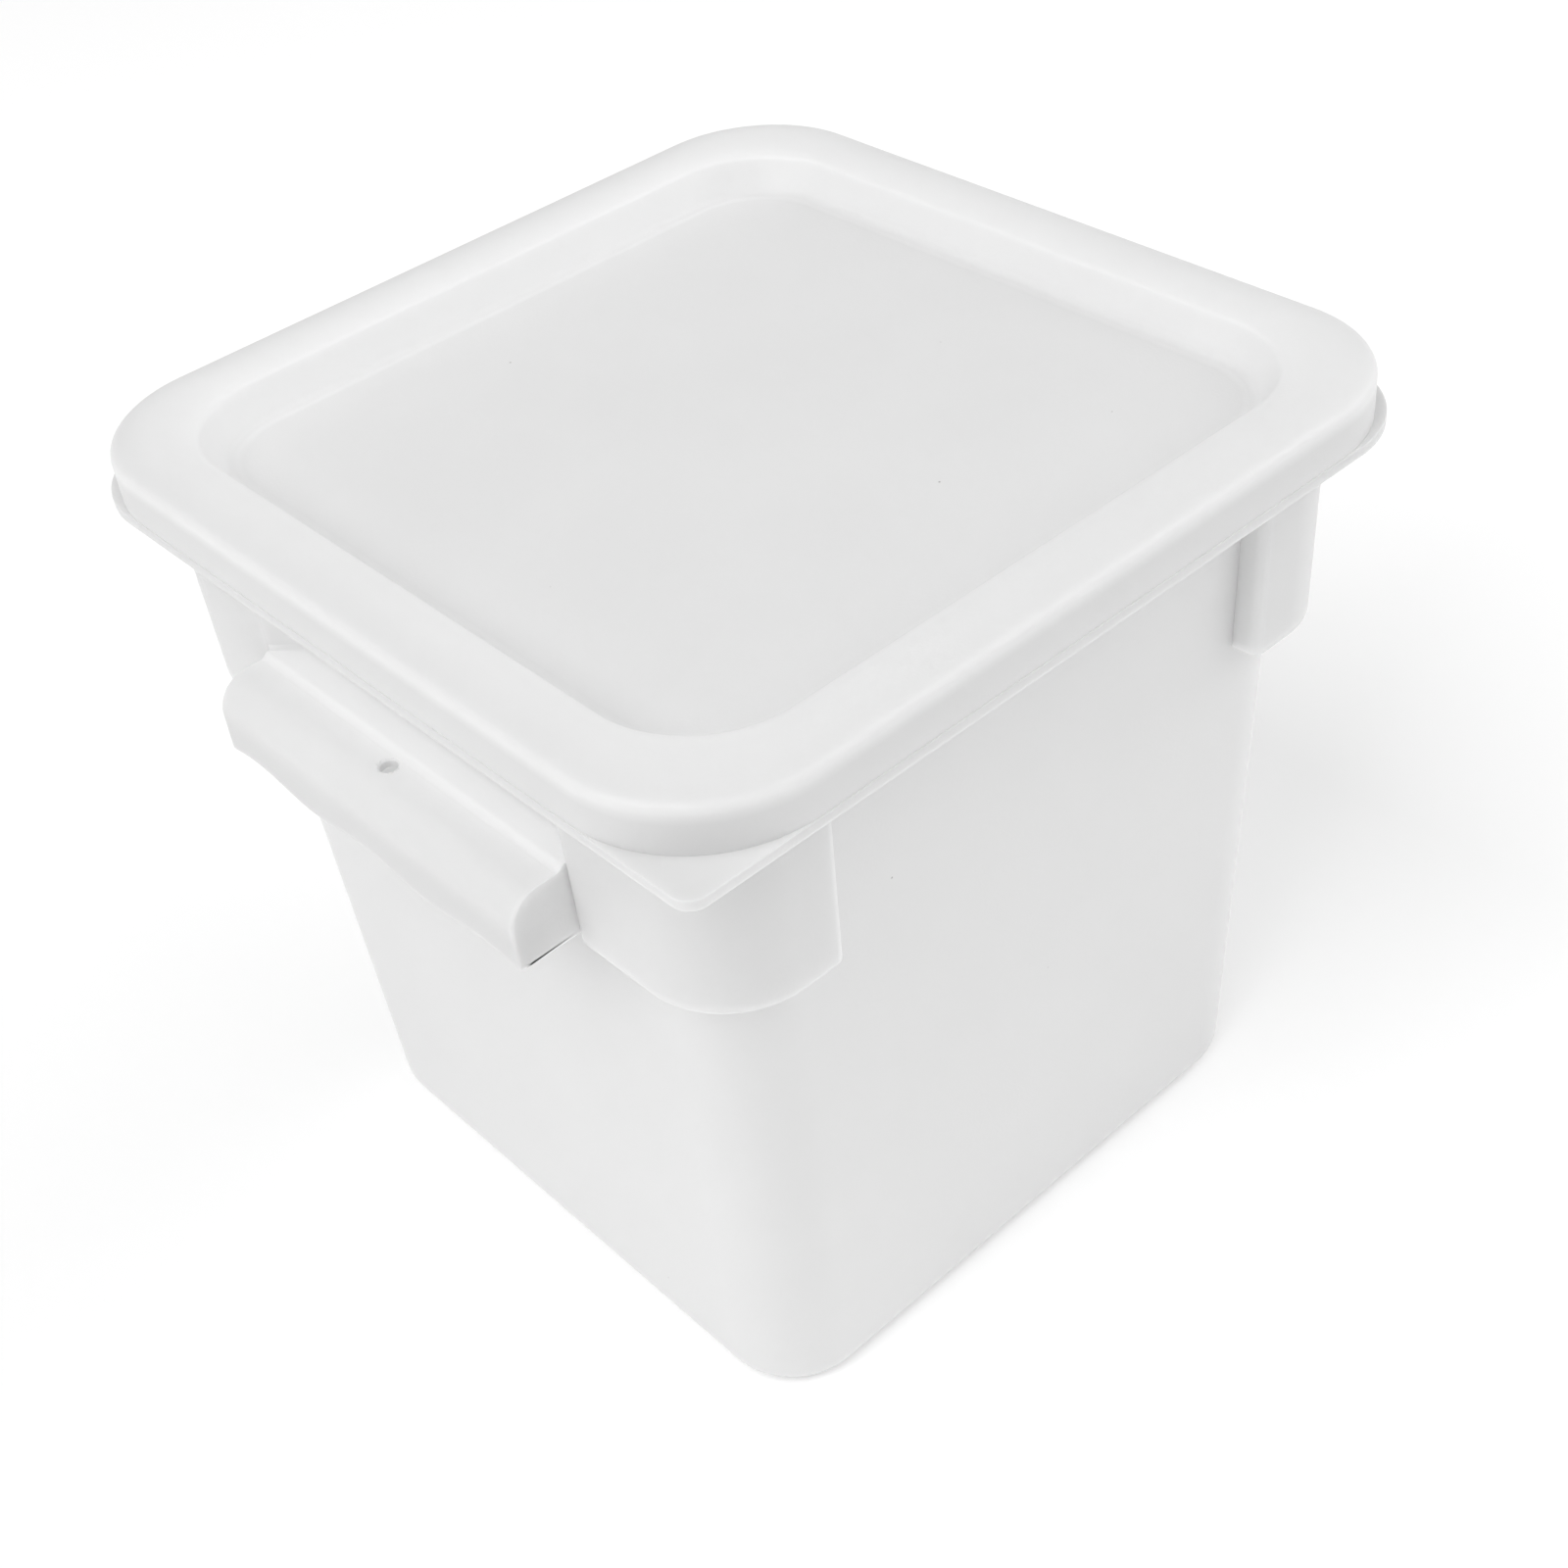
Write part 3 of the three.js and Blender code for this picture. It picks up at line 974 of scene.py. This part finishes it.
@dataclass
class Tub:
    """The tub: tapered walls, corner shoulders, wing handles and the crowned rim."""

    handle: Handle
    crown: Crown
    base_half: float = 112.5
    wall_top_half: float = 121.5
    wall_top: float = 252.0
    corner_radius: float = 26.0
    base_edge_radius: float = 8.0
    wall_thickness: float = 2.8
    floor_thickness: float = 3.2
    shoulder_proud: float = 8.3
    shoulder_draft: float = 1.0
    shoulder_bottom: float = 193.0
    shoulder_corner_radius: float = 28.5
    shoulder_edge_radius: float = 3.5
    shoulder_foot_radius: float = 0.3
    plain_face_half: float = 85.0
    splay_length: float = 13.0
    splay_overrun: float = 2.0
    neck_half: float = 130.2
    neck_bottom: float = 260.0
    rim_thickness: float = 2.6
    rim_half: float = 139.9
    rim_lip_bottom: float = 262.4
    rim_corner_centre: float = 101.0
    rim_inset: float = 2.9
    rim_edge_radius: float = 0.7
    # How far the wall's stations beside a handle's level top stand off it, down and up.
    level_rise: float = 0.05
    # Painted light and shade on a shoulder's face, painted darker, and on its steps beside the plain
    # faces, painted lighter, partly standing for the plastic behind them.
    shoulder_shading: float = 0.29
    step_shading: float = 0.6
    side_reach: float = 90.0
    corner_steps: int = 20
    points: TubPoints = TubPoints()

    def wall_half(self, height: float | np.ndarray) -> float | np.ndarray:
        """Half the width of the outer wall at a height: it widens evenly from the base."""
        slope = (self.wall_top_half - self.base_half) / self.wall_top
        return self.base_half + slope * np.asarray(height)

    def shoulder_half(self, height: float | np.ndarray) -> float | np.ndarray:
        """Half the width over the shoulders at a height, with their draft."""
        draft = math.tan(math.radians(self.shoulder_draft))
        return self.wall_top_half + self.shoulder_proud - draft * (self.wall_top - np.asarray(height))

    def upright(self, low: float, high: float, count: int, kind: Section) -> np.ndarray:
        """Stations up a wall or a shoulder's face, without the last."""
        return self.face(line((low,), (high,), count)[:, 0], kind)

    def face(self, height: np.ndarray, kind: Section) -> np.ndarray:
        """Stations of a wall or a shoulder's face.

        Args:
            height: heights of the stations.
            kind: shoulder, or any other kind for the plain wall.

        Returns:
            Stations of half-width, height and corner radius.
        """
        if kind is Section.SHOULDER:
            half, radius = self.shoulder_half(height), self.shoulder_corner_radius
        else:
            half, radius = self.wall_half(height), self.corner_radius
        return stations(np.column_stack([half, height]), radius)

    def base_and_lower_wall(self) -> np.ndarray:
        """Runs from the base's middle round its edge and up to the shoulders' foot.

        Returns:
            Stations of half-width, height and corner radius.
        """
        radius, count = self.base_edge_radius, self.points
        edge_half = float(self.wall_half(radius)) - radius
        edge_corner = self.corner_radius - (self.base_half - edge_half)
        base = line((0.0, 0.0), (edge_half, 0.0), count.base)
        edge = arc((edge_half, radius), radius, -90, 0, count.base_edge)
        return np.vstack([
            stations(base, edge_corner * base[:, 0] / edge_half),
            stations(edge, self.corner_radius - (self.base_half - edge[:, 0])),
            self.upright(radius, self.shoulder_bottom, count.lower_wall, Section.WALL)[1:],
        ])

    def foot(self, kind: Section, top: float) -> np.ndarray:
        """Stations of the shoulders' foot: out from the wall and round a small edge.

        Args:
            kind: wall or shoulder.
            top: height where the foot ends.

        Returns:
            Stations under the foot and as many round its edge.
        """
        steps = self.points.foot
        if kind is not Section.SHOULDER:
            return self.upright(self.shoulder_bottom, top, 2 * steps, Section.WALL)
        edge = self.shoulder_foot_radius
        outside = float(self.shoulder_half(self.shoulder_bottom))
        root = (float(self.wall_half(self.shoulder_bottom)), self.shoulder_bottom)
        under = line(root, (outside - edge, self.shoulder_bottom), steps)
        turn = arc((outside - edge, self.shoulder_bottom + edge), edge, -90, 0, steps)
        way = np.linspace(0.0, 1.0, steps)
        return np.vstack([
            stations(under, self.corner_radius
                     + way * (self.shoulder_corner_radius - edge - self.corner_radius)),
            stations(turn, self.shoulder_corner_radius - (outside - turn[:, 0])),
        ])

    def handle_outside(self) -> np.ndarray:
        """A handle's outside where it stands on the plain wall."""
        return self.handle.outside(float(self.wall_half(self.handle.top)) + self.handle.root_radius)

    def handle_underside(self, low: float) -> tuple[np.ndarray, np.ndarray]:
        """Points under a handle, in its hollow and along its end web.

        The open underside goes up the wall, out along the roof and down inside the lip; an end web
        goes straight out along the lower edge.

        Args:
            low: height on the wall where both begin.

        Returns:
            Rows of half-width and height of the hollow, and as many of the web.
        """
        grip, count = self.handle, self.handle.points
        inside = grip.half - grip.thickness
        roof = grip.top - grip.thickness
        bend = grip.rounding - grip.thickness
        wall_low = float(self.wall_half(low))
        wall_roof = float(self.wall_half(roof))
        hollow = np.vstack([
            line((wall_low, low), (wall_roof, roof), count.wall),
            line((wall_roof, roof), (inside - bend, roof), count.roof),
            arc((inside - bend, roof - bend), bend, 90, 0, count.inner_bend),
            line((inside, roof - bend), (inside, grip.bottom), count.inner_lip)[1:],
        ])
        web = np.column_stack([
            np.linspace(wall_low, inside, len(hollow)),
            np.full(len(hollow), grip.bottom),
        ])
        web[0, 1] = low
        return hollow, web

    def handle_stretch(self, kind: Section, low: float, high: float) -> tuple[np.ndarray, np.ndarray]:
        """Stations past a handle, from just under it to just above it.

        Args:
            kind: wall, shoulder, web or hollow.
            low: height where the stretch begins.
            high: height where it ends.

        Returns:
            The stations, and how far each follows the wave of the lower edge.
        """
        grip = self.handle
        hollow, web = self.handle_underside(low)
        outside = self.handle_outside()
        if kind in (Section.WEB, Section.HOLLOW):
            under = web if kind is Section.WEB else hollow
            wave = grip.wave_share(np.concatenate([under[:, 1], outside[:, 1]]))
            on_wall = 1 if kind is Section.WEB else grip.points.wall
            wave[:on_wall] = 0.0
            return stations(np.vstack([under, outside]), self.corner_radius), wave
        height = np.maximum.accumulate(np.concatenate([web[:, 1], outside[:, 1]]))
        # Beside the handle's level top the wall's stations still rise a little, so that no face of the
        # handle's end is a mere line.
        beside_top = height >= grip.top
        height[beside_top] += np.linspace(-self.level_rise, self.level_rise, beside_top.sum())
        return self.face(np.clip(height, low, high), kind), np.zeros(len(height))

    def rim(self, kind: Section) -> np.ndarray:
        """Runs from above the handles over the flare, the neck, the flange and its crown.

        Args:
            kind: shoulder, or any other kind for the plain wall.

        Returns:
            Stations of half-width, height and corner radius.
        """
        count, edge = self.points, self.rim_edge_radius
        lip_inner = self.rim_half - self.rim_thickness
        lip_edge = self.rim_lip_bottom + edge
        mouth = self.neck_half - self.rim_thickness
        under = self.crown.arc_between(
            self.rim_inset + self.rim_thickness, self.neck_half, lip_inner, count.arch_under)
        over = self.crown.arc_between(self.rim_inset, self.rim_half, mouth + edge, count.arch_over)
        mouth_edge = over[-1, 1] - edge
        corner = self.corner_radius
        flare = line(
            (self.wall_top_half, self.wall_top), (self.neck_half, self.neck_bottom), count.flare)
        if kind is Section.SHOULDER:
            corner = self.shoulder_corner_radius
            flare[:, 0] = self.shoulder_half(flare[:, 1])
        flare_corner = np.linspace(
            corner, self.neck_half - self.rim_corner_centre, count.flare, endpoint=False)
        collar = np.vstack([
            line((self.neck_half, self.neck_bottom), under[0], count.neck),
            under,
            line(under[-1], (lip_inner, lip_edge), count.rim_line)[1:],
            arc((lip_inner + edge, lip_edge), edge, 180, 270, count.rim_edge),
            arc((self.rim_half - edge, lip_edge), edge, -90, 0, count.rim_edge),
            line((self.rim_half, lip_edge), over[0], count.rim_line)[1:],
            over,
            arc((mouth + edge, mouth_edge), edge, 90, 180, count.rim_edge)[1:],
            line((mouth, mouth_edge), (mouth, self.neck_bottom), count.rim_line)[1:],
        ])
        return np.vstack([
            stations(flare, flare_corner),
            stations(collar, collar[:, 0] - self.rim_corner_centre),
        ])

    def mouth(self, half: float, corner: float) -> np.ndarray:
        """Runs from the neck's inside down to the top of a wall's inside.

        Args:
            half: half-width of the wall's inside at its top.
            corner: corner radius there.

        Returns:
            Stations of half-width, height and corner radius.
        """
        neck = self.neck_half - self.rim_thickness
        return stations(
            line((neck, self.neck_bottom), (half, self.wall_top), self.points.mouth),
            np.linspace(neck - self.rim_corner_centre, corner, self.points.mouth),
        )

    def inner_wall(self, high: float, low: float, count: int) -> np.ndarray:
        """Runs down the inside of the plain wall, without the last station.

        Args:
            high: height of the first station.
            low: height where the stretch ends.
            count: number of stations.

        Returns:
            Stations of half-width, height and corner radius.
        """
        wall = self.wall_thickness
        height = line((high,), (low,), count)[:, 0]
        points = np.column_stack([self.wall_half(height) - wall, height])
        return stations(points, self.corner_radius - wall)

    def pocket(self) -> np.ndarray:
        """Runs down the hollow inside a shoulder and in along its floor to the wall.

        Returns:
            Stations of half-width, height and corner radius.
        """
        count, wall, turn_radius = self.points, self.wall_thickness, self.shoulder_foot_radius
        floor = self.shoulder_bottom + wall
        corner = self.shoulder_corner_radius - wall
        height = line((self.wall_top,), (floor + turn_radius,), count.pocket_wall)[:, 0]
        outer = float(self.shoulder_half(floor)) - wall
        root = (float(self.wall_half(floor)) - wall, floor)
        turn = arc((outer - turn_radius, floor + turn_radius), turn_radius, 0, -90, count.pocket_turn)
        floor_corner = np.linspace(corner - turn_radius, self.corner_radius - wall, count.pocket_floor)
        return np.vstack([
            self.mouth(float(self.shoulder_half(self.wall_top)) - wall, corner),
            stations(np.column_stack([self.shoulder_half(height) - wall, height]), corner),
            stations(turn, corner - (outer - turn[:, 0])),
            stations(line(turn[-1], root, count.pocket_floor), floor_corner),
        ])

    def inside(self, kind: Section) -> np.ndarray:
        """Runs down the inside, past the shoulders' pockets to the middle of the floor.

        Args:
            kind: pocket, or any other kind for the plain wall.

        Returns:
            Stations of half-width, height and corner radius.
        """
        count, wall = self.points, self.wall_thickness
        corner = self.corner_radius - wall
        if kind is Section.POCKET:
            upper = self.pocket()
        else:
            turn = self.shoulder_bottom + wall + self.shoulder_foot_radius
            upper = np.vstack([
                self.mouth(self.wall_top_half - wall, corner),
                self.inner_wall(self.wall_top, turn, count.pocket_wall),
                self.inner_wall(turn, self.shoulder_bottom, count.pocket_turn + count.pocket_floor),
            ])
        radius = self.base_edge_radius - wall
        half = float(self.wall_half(self.base_edge_radius)) - wall - radius
        top = self.floor_thickness
        edge = arc((half, top + radius), radius, 0, -90, count.floor_edge)
        floor = line((half, top), (0.0, top), count.floor)[1:]
        return np.vstack([
            upper,
            self.inner_wall(self.shoulder_bottom, top + radius, count.inner_wall),
            stations(edge, corner - (half + radius - edge[:, 0])),
            stations(floor, (corner - radius) * floor[:, 0] / half),
            np.array([[0.0, top, 0.0]]),
        ])

    def plastic(self, before: int, count: int) -> ShadingMarks:
        """Tells what the stations say of the painted light and shade on them.

        Args:
            before: number of stations before the handles' stretch.
            count: number of all stations.

        Returns:
            A handle's painted shade and light, and marks for the painted shadow lines at the feet's
            edges and the painted light in the nooks above handles.
        """
        under = len(self.handle_underside(self.handle.bottom)[0])
        outside = self.handle_outside()
        above = before + under + len(outside)
        station = np.arange(count)
        grip_shading = np.full(count, PLAIN_SHADING)
        # Painted shade on the handle's lip rising to painted light at its root.
        grip_shading[above - len(outside):above] = self.handle.grip_shading_ramp(outside)
        nook_end = above + self.points.upper_wall + self.points.flare
        return ShadingMarks(
            grip_shading,
            # Painted shadow line along the shoulders' foot edges.
            foot_edge_shadow=(station >= before - self.points.foot) & (station < before),
            # Painted light in the nooks above the handles.
            nook_light=(station >= above) & (station < nook_end),
        )

    def sections(self) -> tuple[dict[Section, np.ndarray], dict[Section, np.ndarray], ShadingMarks]:
        """Lines up the stations of every kind of section.

        Returns:
            Stations by kind, how far each follows the wave by kind, and the marks of painted light and
            shade.
        """
        grip = self.handle
        low = grip.bottom - grip.wave_height - grip.wave_room
        high = grip.top + grip.crease_rise + grip.root_radius
        base = self.base_and_lower_wall()
        before = len(base) + 2 * self.points.foot
        rows, waves = {}, {}
        for kind in Section:
            foot = self.foot(kind, low)
            beside, wave = self.handle_stretch(kind, low, high)
            upper = self.upright(high, self.wall_top, self.points.upper_wall, kind)
            rows[kind] = np.vstack([base, foot, beside, upper, self.rim(kind), self.inside(kind)])
            waves[kind] = np.zeros(len(rows[kind]))
            waves[kind][before:before + len(wave)] = wave
        return rows, waves, self.plastic(before, len(rows[Section.WALL]))

    def rounded_step(self, place: np.ndarray, root: float) -> np.ndarray:
        """Share of a shoulder's height at places past its root.

        The step rises at once to where its outer edge is rounded, and the rounding is a quarter
        circle: one minus the radius over the height, times one minus the circle's sine.

        Args:
            place: distances from the middle of the side.
            root: where the step stands.

        Returns:
            Shares from nothing before the root to one past the rounding.
        """
        way = np.clip((place - root) / self.shoulder_edge_radius, 0.0, 1.0)
        sine = np.sqrt(1 - (1 - way) ** 2)
        share = 1 - self.shoulder_edge_radius / self.shoulder_proud * (1 - sine)
        return np.where(past(place, root), share, 0.0)

    def plain_half_side(self) -> np.ndarray:
        """Samples from the middle of a side without a handle to its end.

        Returns:
            Rows of place, shoulder share, handle share, hollow share and pocket share. Where a face
            stands square to the wall, a place comes twice.
        """
        root = self.plain_face_half
        pocket = root + self.wall_thickness
        quarter = np.radians(np.linspace(0.0, 90.0, self.points.edge))
        places = np.sort(np.concatenate([
            line((0.0,), (root,), self.points.plain_half)[:, 0], [root],
            root + self.shoulder_edge_radius * (1 - np.cos(quarter)),
            [pocket, pocket, self.side_reach],
        ]))
        none = np.zeros(len(places))
        shoulder = self.rounded_step(places, root)
        return np.column_stack([places, shoulder, none, none, past(places, pocket)])

    def handle_half_side(self) -> np.ndarray:
        """Samples from the middle of a side with a handle to its end.

        The wall splays out to the shoulder as half of one minus the cosine of a half turn. The
        handle's end is rounded as a quarter circle.

        Returns:
            Rows as for a side without a handle.
        """
        grip = self.handle
        end = grip.length / 2
        web = end - grip.thickness
        splay_end = end + self.splay_overrun
        splay = np.linspace(splay_end - self.splay_length, splay_end, self.points.splay)
        quarter = np.radians(np.linspace(0.0, 90.0, self.points.edge))
        places = np.sort(np.concatenate([
            np.linspace(0.0, splay[0], self.points.handle_half)[:-1], splay, [web, web],
            end - grip.end_radius * (1 - np.sin(quarter)), [end, splay_end],
            [(self.side_reach + splay_end) / 2, self.side_reach],
        ]))
        rise = np.clip((places - splay[0]) / self.splay_length, 0.0, 1.0)
        shoulder = (1 - np.cos(np.pi * rise)) / 2
        way = np.clip((places - end) / grip.end_radius + 1, 0.0, 1.0)
        reach = grip.half - self.wall_top_half - self.shoulder_proud
        rounded = 1 - grip.end_radius / reach * (1 - np.sqrt(1 - way**2))
        handle = np.where(past(places, end), 0.0, rounded)
        return np.column_stack([places, shoulder, handle, ~past(places, web), past(places, splay_end)])

    def mesh(self) -> bpy.types.Mesh:
        """Carries the sections round the square and passes from one kind to the next by shares.

        Returns:
            The closed mesh.
        """
        x_side = mirrored(self.handle_half_side())
        y_side = mirrored(self.plain_half_side())
        path = SquarePath.around(x_side[:, 0], y_side[:, 0], self.corner_steps)
        # A corner is all shoulder, with its pocket and without a handle.
        corner_shares = (1.0, 0.0, 0.0, 1.0)
        shoulder, handle, hollow, pocket = (
            path.side_share(x_side[:, i + 1], y_side[:, i + 1], corner)
            for i, corner in enumerate(corner_shares)
        )
        rows, waves, plastic = self.sections()
        plans = {
            kind: path.place(rows[kind][:, :1], rows[kind][:, 2:])
            for kind in (Section.WALL, Section.SHOULDER, Section.POCKET)
        }
        wall = rows[Section.WALL]
        plan = plans[Section.WALL].copy()
        plan += shoulder[:, None] * (plans[Section.SHOULDER] - plans[Section.WALL])
        plan += pocket[:, None] * (plans[Section.POCKET] - plans[Section.WALL])
        rise = rows[Section.SHOULDER][:, 1:2] - wall[:, 1:2]
        sunk = rows[Section.POCKET][:, 1:2] - wall[:, 1:2]
        height = wall[:, 1:2] + shoulder * rise + pocket * sunk
        half = wall[:, :1] + shoulder * (rows[Section.SHOULDER][:, :1] - wall[:, :1])
        along = np.abs(path.along).sum(axis=1)
        wave = self.handle.wave_height * np.cos(2 * np.pi * along / self.handle.wave_length)
        web_half = self.squeezed(rows[Section.WEB][:, :1], wall[:, :1], half)
        web_height = rows[Section.WEB][:, 1:2] + waves[Section.WEB][:, None] * wave
        open_height = rows[Section.HOLLOW][:, 1:2] + waves[Section.HOLLOW][:, None] * wave
        open_half = self.squeezed(rows[Section.HOLLOW][:, :1], wall[:, :1], half)
        handle_half = web_half + hollow * (open_half - web_half)
        handle_height = web_height + hollow * (open_height - web_height)
        plan += (handle * (handle_half - half))[..., None] * path.normal
        height = height + handle * (handle_height - height)
        full = np.clip((rows[Section.SHOULDER][:, :1] - wall[:, :1]) / self.shoulder_proud, 0.0, 1.0)
        return skin("tub_skin", plan, height, self.body(path, plastic, shoulder, handle, full))

    def body(self, path: SquarePath, plastic: ShadingMarks, shoulder: np.ndarray, handle: np.ndarray,
             full: np.ndarray) -> np.ndarray:
        """Tells the painted light and shade at each point.

        A handle is painted lighter towards the wall, partly as it thickens there, a shoulder's face is
        painted darker than the wall, partly as it is thinner, and its foot's edge gets a painted
        shadow line. The steps beside the plain faces are painted lighter, and the nooks above the
        handles get painted light as white as the thickest plastic, for light that comes through the
        wall.

        Args:
            path: samples round the tub.
            plastic: what the stations tell.
            shoulder: shoulder share of each sample.
            handle: handle share of each sample.
            full: how far a shoulder stands out at each station, as a share, in one column.

        Returns:
            Shares from nothing to one, by station and sample.
        """
        # Painted shade on the handle's lip rising to painted light at its root.
        body = PLAIN_SHADING + handle * (plastic.grip_shading[:, None] - PLAIN_SHADING)
        # Painted shade on the shoulders' faces.
        face = full * shoulder * (1 - handle)
        body += face * (self.shoulder_shading - body)
        # Painted shadow line along the shoulders' foot edges.
        body = np.where(plastic.foot_edge_shadow[:, None], body * (1 - shoulder * (1 - handle)), body)
        # Painted light in the nooks above the handles.
        on_handle_side = np.abs(path.normal[:, 0])
        body += plastic.nook_light[:, None] * on_handle_side * (1 - shoulder) * (1 - body)
        # Painted light on the steps beside the plain faces.
        past_step = (np.abs(path.along).sum(axis=1) - self.plain_face_half) / self.shoulder_edge_radius
        at_step = np.where(past_step > -SLACK, np.clip(1 - past_step, 0.0, 1.0), 0.0)
        at_step = at_step * np.abs(path.normal[:, 1])
        return body + full * at_step * (self.step_shading - body)

    def squeezed(self, grip_half: np.ndarray, plain_half: np.ndarray, half: np.ndarray) -> np.ndarray:
        """Fits a handle's stations between its crease and a wall that stands further out.

        The distance from the crease shrinks by the share of the room that the wall leaves.

        Args:
            grip_half: half-widths of the handle's stations at a plain wall.
            plain_half: half-widths of the plain wall.
            half: half-widths of the wall at each sample.

        Returns:
            Half-widths of the handle's stations by station and sample.
        """
        crease = self.handle.crease_half - self.handle.crease_width / 2
        room = np.where(plain_half < crease, crease - plain_half, 1.0)
        fitted = crease - (crease - grip_half) * (crease - half) / room
        return np.where(grip_half < crease, fitted, grip_half)

    def build(self, finish: MouldedPolyethylene) -> bpy.types.Object:
        """Builds the tub, cuts the hanging holes, dresses and seats it.

        Args:
            finish: its plastic.

        Returns:
            The tub.
        """
        piece = add_object("tub_shell", self.mesh())
        cut(piece, [self.handle.hole_cutter(side) for side in (1, -1)])
        smooth(piece.data)
        piece.data.materials.append(finish.build())
        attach(piece, Body.CONTAINER.value)
        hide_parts("container_body")
        return piece


@dataclass(frozen=True)
class Softbox:
    """A square lamp: its use, its heading and rise in degrees and its power in watts.

    The heading is its direction from the object in plan, from +X towards +Y, and the rise its angle
    above level.
    """

    use: Light
    heading: float
    rise: float
    power: float


@dataclass
class Studio:
    """Pale floor, soft lamps and the camera at the photograph's viewing angle."""

    floor_size: float = 8000.0
    floor_steps: int = 2
    camera_place: tuple[float, float, float] = (-359.5, -453.7, 609.6)
    camera_pitch: float = -39.872
    camera_heading: float = -38.643
    camera_roll: float = -6.619
    lens: float = 51.98
    sensor: float = 36.0
    sky_strength: float = 0.52
    lamp_size: float = 3500.0
    lamp_distance: float = 4500.0
    aim: tuple[float, float, float] = (0.0, 0.0, 150.0)
    softboxes: tuple[Softbox, ...] = (
        Softbox(Light.KEY, heading=180.0, rise=50.0, power=113.0),
        Softbox(Light.RIGHT, heading=-70.0, rise=35.0, power=20.0),
        Softbox(Light.BACK_RIGHT, heading=-25.0, rise=30.0, power=66.0),
    )

    def floor(self) -> bpy.types.Object:
        """Lays the floor as a flat grid of two parameters.

        Returns:
            The floor.
        """
        half = self.floor_size / 2 * MM
        count = self.floor_steps + 1
        steps = np.linspace(-half, half, count)
        across, deep = np.meshgrid(steps, steps)
        points = np.stack([across, deep, np.zeros_like(across)], axis=-1).reshape(-1, 3)
        start = np.arange(count * count).reshape(count, count)[:-1, :-1].ravel()
        quads = np.stack([start, start + 1, start + count + 1, start + count], axis=-1)
        mesh = bpy.data.meshes.new("floor")
        mesh.from_pydata(points, [], quads)
        floor = add_object("floor", mesh)
        floor.data.materials.append(PaleBoard().build())
        return floor

    def sky(self) -> None:
        """Surrounds the scene with even white light."""
        world = bpy.data.worlds.new("white_surround")
        world.use_nodes = True
        background = world.node_tree.nodes["Background"]
        background.inputs["Color"].default_value = linear("#ffffff")
        background.inputs["Strength"].default_value = self.sky_strength
        bpy.context.scene.world = world

    def hang(self, softbox: Softbox) -> None:
        """Hangs a softbox so that it faces the object.

        Args:
            softbox: the lamp.
        """
        name = softbox.use.value
        data = bpy.data.lights.new(name, "AREA")
        data.shape = "SQUARE"
        data.size = self.lamp_size * MM
        data.energy = softbox.power
        turn = Euler((0.0, math.radians(-softbox.rise), math.radians(softbox.heading)))
        away = turn.to_matrix() @ Vector((1.0, 0.0, 0.0))
        lamp = bpy.data.objects.new(name, data)
        lamp.location = (Vector(self.aim) + self.lamp_distance * away) * MM
        lamp.rotation_euler = (-away).to_track_quat("-Z", "Y").to_euler()
        bpy.context.scene.collection.objects.link(lamp)

    def camera(self) -> None:
        """Sets the camera: rolled, tipped down from level and turned to its heading."""
        data = bpy.data.cameras.new("camera")
        data.sensor_width = self.sensor
        data.lens = self.lens
        data.clip_end = self.floor_size * MM
        camera = bpy.data.objects.new("camera", data)
        tip = Euler((math.radians(90.0 + self.camera_pitch), 0.0, math.radians(self.camera_heading)))
        roll = Euler((0.0, 0.0, math.radians(self.camera_roll)))
        camera.rotation_euler = (tip.to_matrix() @ roll.to_matrix()).to_euler()
        camera.location = Vector(self.camera_place) * MM
        bpy.context.scene.collection.objects.link(camera)
        bpy.context.scene.camera = camera

    def build(self) -> None:
        """Sets up floor, light, camera and a plain view transform."""
        self.floor()
        self.sky()
        for softbox in self.softboxes:
            self.hang(softbox)
        self.camera()
        bpy.context.scene.view_settings.view_transform = "Standard"


def main() -> None:
    """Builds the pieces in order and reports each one."""
    logging.basicConfig(level=logging.INFO, format="%(name)s: %(message)s")
    lid = Lid()
    tub = Tub(handle=Handle(), crown=lid.crown())
    lid_finish = MouldedPolyethylene("moulded_polyethylene_lid")
    tub_finish = MouldedPolyethylene("moulded_polyethylene_tub")
    pieces = [tub.build(tub_finish), lid.build(lid_finish)]
    for piece in pieces:
        log.info("%s: %d faces", piece.name, len(piece.data.polygons))
    Studio().build()


if __name__ == "__main__":
    main()
